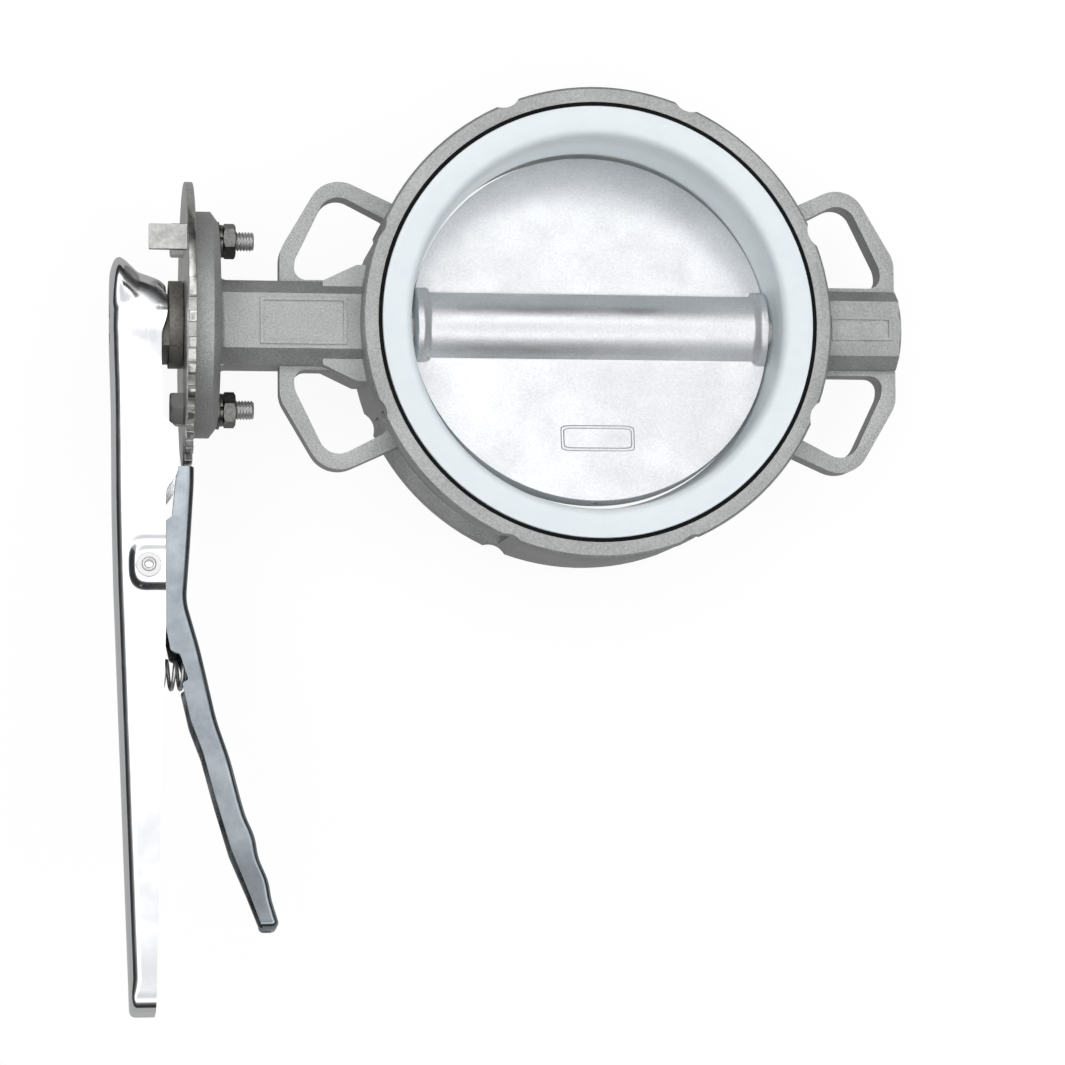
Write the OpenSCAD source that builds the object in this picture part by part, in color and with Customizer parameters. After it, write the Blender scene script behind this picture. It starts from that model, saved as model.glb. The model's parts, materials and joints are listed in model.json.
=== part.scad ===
// Wafer butterfly valve, DN150, with a notch plate and a squeeze lever.
// Frame: origin at the bore centre, halfway between the faces; +Z along the pipe,
// -X up the stem to the lever, -Y the way the lever points when the valve is shut.
// Millimetres and degrees.

/* [Disc] */
// how far the disc and lever are turned open
open_angle = 10; // [0:1:90]
// radius of the disc's round edge
disc_r = 75; // [62:0.5:95]
// thickness of the disc plate
disc_t = 9; // [6:0.5:12]
// radius of the disc's hub tube
hub_r = 14; // [12.5:0.5:15]
// radius of the collars at the ends of the hub
collar_r = 16.5; // [15.5:0.5:20]
// length of each collar
collar_w = 4.5; // [3:0.5:12]
// radius of the fillet between hub and plate
hub_fillet = 6; // [2:0.5:9]
// bevel on the rim of the disc plate
disc_bevel = 1.2; // [0.4:0.1:2]
// length of the blank plate on the disc
disc_plate_l = 31; // [20:0.5:40]
// width of the blank plate on the disc
disc_plate_w = 11.2; // [8:0.2:14]
// height of the blank plate on the disc
disc_plate_h = 0.8; // [0.4:0.1:1.5]
// distance of the blank plate from the stem axis
disc_plate_y = 48.2; // [38:0.1:52]
// shift of the blank plate along the stem axis
disc_plate_x = 1.2; // [-10:0.1:10]

/* [Seat] */
// gap between disc edge and seat crest
seat_gap = 0.3; // [0.2:0.05:0.5]
// width of the seat face
seat_lip = 14; // [9:0.5:15]
// how far the seat face stands out of the body face
seat_proud = 0.6; // [0.2:0.1:1]
// thickness of the seat's face flange
seat_flange_t = 3; // [2:0.2:4]
// how far the seat crest stands out of the seat's bore
seat_crest = 1.7; // [0.8:0.1:2.4]
// half width of the seat crest
seat_crest_w = 14; // [8:1:18]
// rolled edge between seat face and seat bore
seat_roll = 4; // [2:0.2:5]
// wall of the seat behind its bore
seat_wall = 6; // [3:0.2:6]
// thickness of the elastomer behind the seat
backing_t = 3.4; // [2:0.2:5]
// width of elastomer that shows round the seat
backing_w = 1.7; // [1:0.1:3]
// how far that elastomer is sunk below the body face
backing_sunk = 0.6; // [0.2:0.1:1.2]

/* [Body] */
// length of the body from face to face
body_len = 56; // [46:1:70]
// width of the metal face outside the elastomer
face_w = 6.4; // [5:0.2:9]
// width of each outer rim
rim_w = 9; // [6:0.5:12]
// depth of the waist between the rims
waist_d = 5; // [3:0.5:6]
// bevel on the outer rims
rim_bevel = 1; // [0.4:0.1:2]
// radius of the bolt scallops in the rims
scallop_r = 7.5; // [5:0.5:10]
// depth of the bolt scallops
scallop_d = 2; // [1:0.25:3]
// flange bolts the valve is clamped between
bolt_count = 8; // [8:4:8]

/* [Neck] */
// length of the neck from the ring to the top flange
neck_len = 57.8; // [46:0.1:76]
// half width of the neck
neck_w = 17.3; // [16:0.1:21]
// half depth of the neck
neck_d = 17; // [15:0.5:20]
// half width of the flat on the neck's front
neck_flat = 11.3; // [8:0.1:13]
// depth left on the neck's side flats
neck_side = 10.5; // [8:0.5:13]
// half width of the root where the neck meets the ring
neck_root_w = 24; // [20:0.5:28]
// length of the root taper
neck_root_l = 15; // [8:0.5:20]
// half depth of the root
neck_root_d = 13; // [10:0.5:16]
// length of the blank frame on the neck
name_l = 35.3; // [24:0.5:44]
// half width of the blank frame on the neck
name_w = 9.6; // [7:0.1:10.5]
// width of the frame's border
name_border = 1.3; // [0.8:0.1:2]
// distance of the neck's frame from the ring
name_x = 23.1; // [20:0.1:34]
// height of the frame's border
name_h = 0.9; // [0.4:0.1:1.5]
// radius of the top flange
flange_r = 46.5; // [45:0.1:55]
// thickness of the top flange
flange_t = 10.4; // [8:0.2:14]
// bevel under the top flange
flange_bevel = 3; // [1:0.5:4]
// radial width of that bevel
flange_bevel_r = 4; // [2:0.5:6]
// reach of the fillets between neck and top flange
flange_fillet = 4; // [2:0.5:6]

/* [Bottom boss] */
// length of the boss below the ring
boss_len = 32.4; // [30:0.2:44]
// half width of the boss
boss_w = 16.5; // [15.5:0.5:20]
// half depth of the boss
boss_d = 16.5; // [15.5:0.5:20]
// half width of the flat on the boss's front
boss_flat = 11.5; // [8:0.5:13]
// depth left on the boss's side flats
boss_side = 10; // [8:0.5:13]
// bevel round the end of the boss
boss_bevel = 1; // [0.5:0.5:4]
// length of the blank frame on the boss
tag_l = 25.7; // [18:0.1:28]
// distance of the boss's frame from the ring
tag_x = 15.4; // [13:0.1:20]
// half width of the blank frame on the boss
tag_w = 5; // [3.5:0.1:7]

/* [Ears] */
// thickness of the four ears
ear_t = 12; // [8:0.5:16]
// reach of the ears beyond the ring, along the stem
ear_reach = 32.2; // [28:0.2:42]
// half span of each pair of ears across the stem
ear_span = 61.2; // [56:0.1:70]
// width of the bar round each ear
ear_bar = 6.2; // [4:0.2:8]
// distance of the open hole from the stem axis
ear_hole_y = 18.6; // [18.2:0.1:21]
// rounding of the ear's outside corners
ear_round = 13; // [8:0.5:14]
// rounding of the hole's corners
ear_hole_round = 5; // [2:0.5:7]

/* [Stem] */
// radius of the stem
stem_r = 9; // [8:0.25:10]
// width across the flats of the square drives
drive_w = 14; // [11:0.5:14]
// running gap round the stem
run_gap = 0.05; // [0.02:0.01:0.09]
// gap between parts that only pass each other
pass_gap = 0.4; // [0.3:0.05:0.8]
// how far each stem reaches into the disc, from the bore centre
stem_inner = 34; // [28:1:44]
// length of the square drive inside the disc
drive_l = 18; // [10:1:24]
// radius of the stem bore in the neck and boss
stem_bore_r = 12.5; // [11.8:0.1:13.5]
// length of each stem bush
bush_l = 16; // [10:1:20]
// thickness of the seal rings' cord
ring_cord = 2.6; // [2:0.2:3]
// gap between neighbouring seal rings
ring_pitch = 5; // [4:0.5:7]
// number of seal rings on the drive stem
ring_count = 3; // [2:1:3]
// radius of the stem seal set into the top flange
seal_r = 16; // [14:0.5:18]
// thickness of the stem seal
seal_t = 4; // [3:0.5:5]
// thickness of the washer over the stem seal
gland_t = 1.6; // [1:0.2:2]
// length of the plug in the boss
plug_l = 7; // [5:0.5:10]
// radius of the plug in the boss
plug_r = 13.5; // [13:0.1:14]
// thickness of the plug's gasket
gasket_t = 1.5; // [1:0.1:2]
// width across the flats of the plug's key socket
plug_key_w = 8; // [6:0.5:10]

/* [Notch plate] */
// thickness of the notch plate
plate_t = 3.3; // [2.5:0.1:5]
// radius of the plate away from the teeth
plate_r = 58.5; // [56:0.5:59]
// radius of the tooth crests
tooth_r = 60.6; // [59:0.1:61]
// depth of the notches
notch_d = 4; // [2.5:0.25:5]
// width of each notch
notch_w = 6; // [5.6:0.1:7]
// number of notches
notch_count = 10; // [5:1:10]
// angle from notch to notch
notch_step = 10; // [9:0.5:10]
// width of the stop tab
tab_w = 10; // [6:0.5:14]
// height of the stop tab above the plate
tab_h = 15.3; // [8:0.1:18]
// distance of the stop tab from the plate's middle line
tab_y = 28.5; // [24:0.5:34]

/* [Fasteners] */
// radius of the bolts
bolt_r = 4; // [3.5:0.1:4.3]
// length of the bolts under the head
bolt_l = 29; // [28:1:36]
// width across the flats of heads and nuts
hex_w = 13; // [11:0.5:14]
// height of the bolt heads
head_h = 5.3; // [4:0.1:5.6]
// height of the nuts
nut_h = 5.2; // [5:0.2:8]
// thickness of the flat washers
washer_t = 1.1; // [1:0.1:1.8]
// radius of the flat washers
washer_r = 8; // [7.5:0.25:8.5]
// thickness of the spring washers
spring_washer_t = 1.5; // [1.4:0.1:2.2]
// radius of the spring washers
spring_washer_r = 6.8; // [6.2:0.1:7.4]
// gap in the spring washers
spring_washer_gap = 1.2; // [0.8:0.2:2]
// clearance of the bolt holes
bolt_clear = 0.5; // [0.3:0.1:1]
// radius of the circle the bolts stand on
bolt_circle_r = 35; // [33:0.5:37]

/* [Lever] */
// radius of the hub under the lever
lever_hub_r = 18; // [16:0.5:19]
// height of the hub's round foot
lever_hub_h = 6; // [5:0.5:6.2]
// height of the hub's top above the notch plate
hub_top = 16; // [14:0.5:18]
// thickness of the lever's sheet
sheet_t = 2; // [1.5:0.1:2.5]
// width of the lever across its walls
lever_w = 30; // [28:0.5:36]
// how far the lever's lip reaches behind its head
lip_l = 12.5; // [6:0.5:14]
// drop of the lip's underside below the lever's back
lip_drop = 10.7; // [8:0.1:14]
// thickness of the lip's edge
lip_edge = 3.4; // [2:0.1:5]
// length of the hub's block beyond the stem
block_l = 13; // [12:0.5:24]
// start of the relief from the stem axis
relief_start = 8; // [4:0.5:14]
// how far the lever's head reaches behind the stem
lever_back = 15; // [13.5:0.1:16]
// length of the lever from the stem axis
lever_len = 282; // [240:0.1:360]
// height of the lever's back above the notch plate, at the stem
lever_top = 29.9; // [28.5:0.1:36]
// fall of the lever's back from its head to its bend
lever_fall = 1.7; // [0:0.1:3]
// distance of the bend from the stem axis
lever_bend = 108; // [95:1:115]
// drop of the lever's back from its bend to its tip
lever_drop = 6.2; // [2:0.1:10]
// height of the walls' edge above the notch plate
edge_h = 7.9; // [6.5:0.1:9]
// height of the walls' edge above the notch plate at the tip
edge_tip_h = 12.2; // [10:0.1:16]
// height of the relief over the bolt heads
relief_h = 9.2; // [8:0.1:11]
// end of the relief from the stem axis
relief_end = 43.6; // [42:0.1:46]
// height of the guard over the teeth
guard_h = 2.8; // [0.6:0.1:3]
// start of the guard from the stem axis
guard_start = 48.5; // [47:0.5:52]
// end of the guard from the stem axis
guard_end = 70; // [64:0.5:74]
// height of the pressed seats round the trigger pin
dimple_h = 14; // [11:0.5:16]
// half length of the pressed seats
dimple_r = 10.5; // [9:0.5:11]
// depth of the pressed seats
dimple_d = 2; // [1.5:0.25:2.5]
// radius of the hole over the lever screw
access_r = 8; // [7.5:0.25:9]
// radius of the lever screw's head
screw_head_r = 6.5; // [6:0.25:7]
// height of the lever screw's head
screw_head_h = 7; // [5:0.5:8]
// length of the lever screw's thread
screw_l = 18; // [12:1:22]
// radius of the socket in the screw head
screw_key_r = 3.2; // [2.5:0.1:3.6]

/* [Trigger] */
// distance of the trigger pin from the stem axis
pivot_s = 104.8; // [96:0.1:110]
// height of the trigger pin above the notch plate
pivot_h = 14.5; // [13:0.5:17]
// radius of the trigger pin
pin_r = 2.5; // [2:0.1:3]
// radius of the pin washers
pin_washer_r = 5; // [4:0.2:7.5]
// thickness of the pin washers
pin_washer_t = 1; // [0.6:0.1:1.4]
// how far the pin's riveted ends stand out of the washers
pin_end = 0.8; // [0.4:0.1:1]
// gap between trigger and lever walls
side_gap = 0.35; // [0.3:0.05:0.6]
// gap between the latch nose and the tooth crests
nose_gap = 0.5; // [0.4:0.05:1]
// width of the latch nose
nose_w = 5; // [4:0.25:5.2]
// length of the latch nose before the trigger widens
nose_l = 2.1; // [1.5:0.1:4]
// depth of the latch nose below the plate's top
nose_low = 3.8; // [3.5:0.1:6]
// height of the latch nose above the plate's top
nose_high = 2.9; // [1.5:0.1:4]
// distance of the trigger's elbow beyond the pin
elbow_s = 13.8; // [12:0.1:18]
// height of the trigger's elbow above the plate's top
elbow_h = -0.6; // [-2:0.1:0]
// slope of the trigger's arm away from the lever
arm_angle = 15.1; // [14.5:0.1:17]
// length of the trigger's arm beyond its elbow
arm_l = 136.5; // [110:0.5:160]
// depth of the trigger's arm
arm_d = 10.1; // [9:0.1:13]
// depth of the trigger's arm at its tip
arm_tip_d = 7; // [4:0.5:8]
// height of the finger waves on the trigger
wave_h = 0.7; // [0.3:0.1:1]
// length of one finger wave
wave_l = 12; // [9:0.5:16]
// number of finger waves
wave_count = 4; // [2:1:4]
// start of the spring slot beyond the pin
slot_s = 35.7; // [34:0.1:40]
// length of the spring slot
slot_l = 11.7; // [8:0.1:14]
// depth of the spring slot
slot_d = 3.6; // [2:0.2:5]
// outside radius of the trigger spring
spring_r = 6.5; // [5:0.25:7]
// radius of the spring's wire
wire_r = 0.8; // [0.6:0.05:1]
// number of coils
coil_count = 7; // [5:1:9]

/* [Show] */
// which sub-part to show

/* [Hidden] */
$fn = 96;
eps = 0.01;
half_turn = 180;
quarter_turn = 90;
// radii of the ring, from the disc outward
seat_r = disc_r + seat_gap;
seat_bore_r = seat_r + seat_crest;
seat_back_r = seat_bore_r + seat_wall;
backing_r = seat_back_r + backing_t;
seat_out_r = seat_r + seat_lip;
recess_r = seat_out_r + backing_w;
body_r = recess_r + face_w;
half_len = body_len / 2;
recess_z = half_len - seat_flange_t - backing_sunk;
crest_round = (seat_crest_w * seat_crest_w + seat_crest * seat_crest) / (2 * seat_crest);
// heights up the stem
neck_top = body_r + neck_len;
flange_top = neck_top + flange_t;
plate_top = flange_top + plate_t;
boss_end = body_r + boss_len;
collar_end = sqrt(disc_r * disc_r - collar_r * collar_r) - pass_gap;
seal_base = flange_top - gland_t - seal_t;
// the bolts that clamp the notch plate
hex_r = hex_w / sqrt(3);
stack_top = neck_top - washer_t - spring_washer_t;
// the lever, with heights above the notch plate turned into heights up the stem
wall_in = lever_w / 2 - sheet_t;
head_s = lever_w / 2 - lever_back;
seat_in = wall_in - dimple_d;
trigger_half = seat_in - side_gap;
back_h = plate_top + lever_top;
bend_h = back_h - lever_fall;
tip_h = bend_h - lever_drop;
drop_rate = lever_drop / (lever_len - lever_bend);
pin_half = wall_in + pin_washer_t + pin_end;
// the trigger
nose_s = tooth_r + nose_gap;
elbow = [pivot_s + elbow_s, plate_top + elbow_h];
arm_dir = [cos(arm_angle), -sin(arm_angle)];
arm_up = [sin(arm_angle), cos(arm_angle)];
spring_s = pivot_s + slot_s + slot_l / 2 + wave_h;
spring_low = elbow[1] - (spring_s - elbow[0]) * tan(arm_angle) + sheet_t / cos(arm_angle) + 2 * sheet_t;
spring_high = bend_h - (spring_s - lever_bend) * drop_rate - sheet_t - pass_gap;
arc_steps = 10;

function unit(v) = v / norm(v);
// a corner at b between a and c, rounded to radius r in n steps
function corner(a, b, c, r, n) =
    let (u = unit(a - b), v = unit(c - b),
         half = acos(max(-1, min(1, u * v))) / 2,
         o = b + unit(u + v) * r / sin(half),
         p = b + u * r / tan(half) - o,
         q = b + v * r / tan(half) - o,
         s = atan2(p[1], p[0]),
         d = atan2(q[1], q[0]) - s,
         e = d > half_turn ? d - 2 * half_turn : d < -half_turn ? d + 2 * half_turn : d)
    [for (i = [0:n]) o + r * [cos(s + e * i / n), sin(s + e * i / n)]];
// an outline whose corners take the radii in the list r; a zero keeps the corner sharp
function rounded(p, r) = [for (i = [0:len(p) - 1])
    each r[i] <= 0 ? [p[i]]
        : corner(p[(i + len(p) - 1) % len(p)], p[i], p[(i + 1) % len(p)], r[i], arc_steps)];
// the eight-sided section of the neck and boss, depth first, width second
function eight(d, side, w, flat) = [
    [d, flat], [side, w], [-side, w], [-d, flat], [-d, -flat], [-side, -w], [side, -w], [d, -flat]];

// two concave fillets of radius r on a bar of half width w, ending at -x = far
function flare(far, w, r) = concat(
    [for (i = [0:arc_steps]) let (a = quarter_turn * i / arc_steps)
        [-far + r - r * sin(a), w + r - r * cos(a)]],
    [for (i = [arc_steps:-1:0]) let (a = quarter_turn * i / arc_steps)
        [-far + r - r * sin(a), -w - r + r * cos(a)]]);

// stands a shape on the stem: its z runs up the stem, its x along the pipe
module up_stem(h = 0) {
    rotate([0, -quarter_turn, 0])
        translate([0, 0, h])
            children();
}

// the same, down the boss
module down_stem(h = 0) {
    rotate([0, quarter_turn, 0])
        translate([0, 0, h])
            children();
}

// turns what moves with the stem to the open angle
module turned() {
    rotate([-open_angle, 0, 0])
        children();
}

// x along the lever, y up the stem, z across the lever
module in_lever_axes() {
    rotate([half_turn, 0, -quarter_turn])
        children();
}

// the same, turned with the lever
module in_lever() {
    turned()
        in_lever_axes()
            children();
}

// a flat ring
module washer(r_out, r_in, t) {
    difference() {
        cylinder(r = r_out, h = t);
        translate([0, 0, -eps])
            cylinder(r = r_in, h = t + 2 * eps);
    }
}

// the two bolt places on the notch plate
module at_bolts() {
    for (side = [-1, 1])
        translate([0, side * bolt_circle_r, 0])
            children();
}

// a raised border round a blank field, standing on z = 0
module blank_frame(l, w) {
    difference() {
        translate([-l / 2, -w, -name_h])
            cube([l, 2 * w, 2 * name_h]);
        translate([-l / 2 + name_border, -w + name_border, -2 * name_h])
            cube([l - 2 * name_border, 2 * (w - name_border), 4 * name_h]);
    }
}

// one ear with its open hole, drawn in the quarter where x and y are positive;
// its corners stand in multiples of the bar's width from the ear's far and side ends
module ear() {
    far = body_r + ear_reach;
    linear_extrude(height = ear_t, center = true)
        difference() {
            polygon(rounded([
                [body_r - 2 * rim_w, 0], [far, 0], [far, ear_span / 2],
                [far - 3.1 * ear_bar, ear_span + 0.35 * ear_bar],
                [body_r - 3 * ear_bar, ear_span - 1.95 * ear_bar], [body_r - 4 * ear_bar, ear_hole_y]],
                [0, 0, ear_round, ear_round, 0, 0]));
            polygon(rounded([
                [far - 0.9 * ear_bar, ear_hole_y], [far - ear_bar, ear_span / 2 - 0.6 * ear_bar],
                [far - 3.3 * ear_bar, ear_span - 0.8 * ear_bar],
                [body_r - 2 * ear_bar, ear_span - 2.8 * ear_bar],
                [body_r - 0.3 * ear_bar, ear_hole_y]],
                [ear_hole_round, 2 * ear_hole_round, 1.7 * ear_hole_round,
                 0.6 * ear_hole_round, ear_hole_round]));
        }
}

module ring_blank() {
    rotate_extrude()
        polygon([
            [backing_r, -recess_z], [recess_r, -recess_z], [recess_r, -half_len],
            [body_r - rim_bevel, -half_len], [body_r, -half_len + rim_bevel],
            [body_r, half_len - rim_bevel], [body_r - rim_bevel, half_len],
            [recess_r, half_len], [recess_r, recess_z], [backing_r, recess_z]]);
}

// the waist between the rims, cut in one quarter
module waist_cut() {
    step = 2 * half_turn / bolt_count;
    rotate([0, 0, step / 2])
        rotate_extrude(angle = step)
            polygon([
                [body_r - waist_d, -half_len + rim_w + waist_d / 2],
                [body_r + eps, -half_len + rim_w],
                [body_r + 1, -half_len + rim_w],
                [body_r + 1, half_len - rim_w],
                [body_r + eps, half_len - rim_w],
                [body_r - waist_d, half_len - rim_w - waist_d / 2]]);
}

module neck_solid() {
    up_stem(backing_r + 1)
        linear_extrude(height = neck_top - backing_r)
            polygon(eight(neck_d, neck_side, neck_w, neck_flat));
    // tapered root on the ring
    linear_extrude(height = 2 * neck_root_d, center = true)
        polygon(rounded([
            [-backing_r - 1, neck_root_w], [-body_r - 1, neck_root_w],
            [-body_r - neck_root_l, neck_w - eps], [-body_r - neck_root_l, -neck_w + eps],
            [-body_r - 1, -neck_root_w], [-backing_r - 1, -neck_root_w]],
            [0, neck_root_l / 4, 0, 0, neck_root_l / 4, 0]));
    up_stem(neck_top)
        cylinder(r1 = flange_r - flange_bevel_r, r2 = flange_r, h = flange_bevel);
    up_stem(neck_top + flange_bevel)
        cylinder(r = flange_r, h = flange_t - flange_bevel);
    linear_extrude(height = 2 * neck_side, center = true)
        polygon(flare(neck_top, neck_w, flange_fillet));
    rotate([quarter_turn, 0, 0])
        linear_extrude(height = 2 * neck_flat, center = true)
            polygon(flare(neck_top, neck_d, flange_fillet));
    translate([-body_r - name_x, 0, neck_d])
        blank_frame(name_l, name_w);
}

module boss_solid() {
    down_stem(backing_r + 1)
        linear_extrude(height = boss_end - boss_bevel - backing_r - 1)
            polygon(eight(boss_d, boss_side, boss_w, boss_flat));
    down_stem(boss_end - boss_bevel - eps)
        intersection() {
            linear_extrude(height = boss_bevel + eps)
                polygon(eight(boss_d, boss_side, boss_w, boss_flat));
            cylinder(r1 = boss_w + boss_bevel, r2 = boss_w, h = boss_bevel + eps);
        }
    translate([body_r + tag_x, 0, boss_d])
        blank_frame(tag_l, tag_w);
}

module valve_body() {
    color("gainsboro")
        difference() {
            union() {
                difference() {
                    ring_blank();
                    for (side = [0, 1])
                        mirror([side, 0, 0])
                            for (end = [0, 1])
                                mirror([0, end, 0])
                                    waist_cut();
                    for (i = [0:bolt_count - 1])
                        rotate([0, 0, (i + 0.5) * 2 * half_turn / bolt_count])
                            translate([body_r - scallop_d + scallop_r, 0, 0])
                                cylinder(r = scallop_r, h = body_len + 2, center = true);
                }
                neck_solid();
                boss_solid();
                for (side = [0, 1])
                    mirror([side, 0, 0])
                        for (end = [0, 1])
                            mirror([0, end, 0])
                                ear();
            }
            cylinder(r = backing_r, h = body_len, center = true);
            // stem bore through the neck, opened out for the top seal
            up_stem(backing_r - 2)
                cylinder(r = stem_bore_r, h = flange_top);
            up_stem(seal_base)
                cylinder(r = seal_r, h = flange_t);
            // stem bore through the boss, opened out for the plug
            down_stem(backing_r - 2)
                cylinder(r = stem_bore_r, h = boss_len + body_r - backing_r);
            down_stem(boss_end - plug_l - gasket_t)
                cylinder(r = plug_r, h = plug_l + 2 * gasket_t);
            up_stem(neck_top - 1)
                at_bolts()
                    cylinder(r = bolt_r + bolt_clear, h = flange_t + 2);
        }
}

// the stem's way through seat and elastomer
module stem_ways(r) {
    rotate([0, quarter_turn, 0])
        cylinder(r = r, h = 2 * body_r, center = true);
}

module seat_backing_ring() {
    color("black")
        difference() {
            rotate_extrude()
                polygon([
                    [seat_back_r, -recess_z - backing_sunk], [seat_out_r, -recess_z - backing_sunk],
                    [seat_out_r, -half_len + backing_sunk], [recess_r, -half_len + backing_sunk],
                    [recess_r, -recess_z], [backing_r, -recess_z], [backing_r, recess_z],
                    [recess_r, recess_z], [recess_r, half_len - backing_sunk],
                    [seat_out_r, half_len - backing_sunk], [seat_out_r, recess_z + backing_sunk],
                    [seat_back_r, recess_z + backing_sunk]]);
            stem_ways(stem_r + pass_gap);
        }
}

module ptfe_seat() {
    face = half_len + seat_proud;
    color("white")
        difference() {
            rotate_extrude()
                difference() {
                    union() {
                        translate([seat_bore_r, -face])
                            square([seat_wall, 2 * face]);
                        for (side = [-1, 1])
                            translate([seat_bore_r, side * (face + recess_z + backing_sunk) / 2])
                                square([2 * (seat_out_r - seat_bore_r), face - recess_z - backing_sunk],
                                       center = true);
                        intersection() {
                            translate([seat_r + crest_round, 0])
                                circle(r = crest_round);
                            translate([seat_r - 1, -seat_crest_w - 1])
                                square([seat_crest + 2, 2 * (seat_crest_w + 1)]);
                        }
                    }
                    // rolled edges
                    for (side = [-1, 1])
                        translate([0, side * face])
                            polygon([
                                [0, side], [seat_bore_r + seat_roll, side], [seat_bore_r + seat_roll, 0],
                                [seat_bore_r + seat_roll / 2, -side * seat_roll / 8],
                                [seat_bore_r + seat_roll / 8, -side * seat_roll / 2],
                                [seat_bore_r, -side * seat_roll], [0, -side * seat_roll]]);
                }
            stem_ways(stem_r + pass_gap);
        }
}

module neck_bush_inner() {
    color("tan")
        up_stem(backing_r + 1)
            washer(stem_bore_r, stem_r + run_gap, bush_l);
}

module neck_bush_outer() {
    color("tan")
        up_stem(seal_base - bush_l)
            washer(stem_bore_r, stem_r + run_gap, bush_l);
}

// a round seal ring at height h, from the stem's gap to the bore
module seal_ring(h) {
    wide = stem_bore_r - stem_r - run_gap;
    translate([0, 0, h])
        rotate_extrude()
            translate([stem_r + run_gap + wide / 2, 0])
                intersection() {
                    circle(r = (wide + ring_cord) / 3);
                    square([wide, 2 * ring_cord], center = true);
                }
}

module stem_seal_rings() {
    color("dimgray")
        up_stem()
            for (i = [0:ring_count - 1])
                seal_ring(backing_r + bush_l + ring_pitch + i * ring_pitch);
}

module stem_top_seal() {
    color("dimgray")
        up_stem(seal_base)
            washer(seal_r, stem_r + run_gap, seal_t);
}

module gland_washer() {
    color("silver")
        up_stem(seal_base + seal_t)
            washer(seal_r, stem_r + pass_gap, gland_t);
}

module stub_bush() {
    color("tan")
        down_stem(backing_r + 1)
            washer(stem_bore_r, stem_r + run_gap, bush_l);
}

module stub_seal_ring() {
    color("dimgray")
        down_stem()
            seal_ring(backing_r + bush_l + ring_pitch);
}

module plug_gasket() {
    color("dimgray")
        down_stem(boss_end - plug_l - gasket_t)
            cylinder(r = plug_r, h = gasket_t);
}

module bottom_plug() {
    color("silver")
        down_stem(boss_end - plug_l)
            difference() {
                cylinder(r = plug_r, h = plug_l);
                translate([0, 0, plug_l / 2])
                    cylinder(r = plug_key_w / sqrt(3), h = plug_l, $fn = 6);
            }
}

// the plate's outline, pipe axis first and lever axis second
module plate_outline() {
    difference() {
        union() {
            circle(r = plate_r);
            intersection() {
                circle(r = tooth_r);
                union() {
                    rotate(-quarter_turn - notch_step)
                        square(2 * tooth_r);
                    rotate(-2 * quarter_turn + notch_count * notch_step)
                        square(2 * tooth_r);
                }
            }
        }
        circle(r = stem_r + pass_gap);
        for (side = [-1, 1])
            translate([0, side * bolt_circle_r])
                circle(r = bolt_r + bolt_clear);
        for (i = [0:notch_count - 1])
            rotate(-quarter_turn + i * notch_step)
                translate([tooth_r - notch_d, -notch_w / 2])
                    square([2 * notch_d, notch_w]);
    }
}

module notch_plate() {
    tab_x = sqrt(plate_r * plate_r - (tab_y + tab_w / 2) * (tab_y + tab_w / 2))
        - plate_t - pass_gap;
    color("silver")
        up_stem(flange_top)
            union() {
                linear_extrude(height = plate_t)
                    plate_outline();
                translate([tab_x, tab_y - tab_w / 2, 0])
                    cube([plate_t, tab_w, plate_t + tab_h]);
            }
}

module plate_bolts() {
    color("silver")
        up_stem(plate_top)
            at_bolts() {
                difference() {
                    intersection() {
                        cylinder(r = hex_r, h = head_h, $fn = 6);
                        cylinder(r1 = hex_r + head_h, r2 = hex_w / 2, h = head_h);
                    }
                    translate([0, 0, head_h - sheet_t / 4])
                        cylinder(r = bolt_r, h = head_h);
                }
                translate([0, 0, -bolt_l])
                    cylinder(r = bolt_r, h = bolt_l + eps);
            }
}

module flat_washers() {
    color("silver")
        up_stem(neck_top - washer_t)
            at_bolts()
                washer(washer_r, bolt_r + bolt_clear / 2, washer_t);
}

module spring_washers() {
    color("silver")
        up_stem(stack_top)
            at_bolts()
                difference() {
                    washer(spring_washer_r, bolt_r + bolt_clear / 2, spring_washer_t);
                    translate([0, -spring_washer_gap / 2, -eps])
                        cube([spring_washer_r + 1, spring_washer_gap, spring_washer_t + 2 * eps]);
                }
}

module plate_nuts() {
    color("silver")
        up_stem(stack_top - nut_h)
            at_bolts()
                difference() {
                    intersection() {
                        cylinder(r = hex_r, h = nut_h, $fn = 6);
                        cylinder(r1 = hex_w / 2, r2 = hex_w / 2 + nut_h, h = nut_h);
                    }
                    translate([0, 0, -eps])
                        cylinder(r = bolt_r, h = nut_h + 2 * eps);
                }
}

// the web of metal between hub and plate, one of four
module hub_fillet_bar(long) {
    base = disc_t / 2;
    reach = hub_fillet + sqrt((hub_r + hub_fillet) * (hub_r + hub_fillet)
        - (base + hub_fillet) * (base + hub_fillet)) - hub_fillet;
    touch = hub_r * (base + hub_fillet) / (hub_r + hub_fillet);
    across = hub_r * reach / (hub_r + hub_fillet);
    start = atan2(touch - base - hub_fillet, across - reach);
    translate([-long / 2, 0, 0])
        rotate([quarter_turn, 0, quarter_turn])
            linear_extrude(height = long)
                polygon(concat(
                    [[0, 0], [reach, 0]],
                    [for (i = [0:2 * arc_steps])
                        let (a = -quarter_turn + (start + quarter_turn - 2 * half_turn * (start > 0 ? 1 : 0))
                            * i / (2 * arc_steps))
                        [reach, base + hub_fillet] + hub_fillet * [cos(a), sin(a)]],
                    [[0, touch]]));
}

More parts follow.
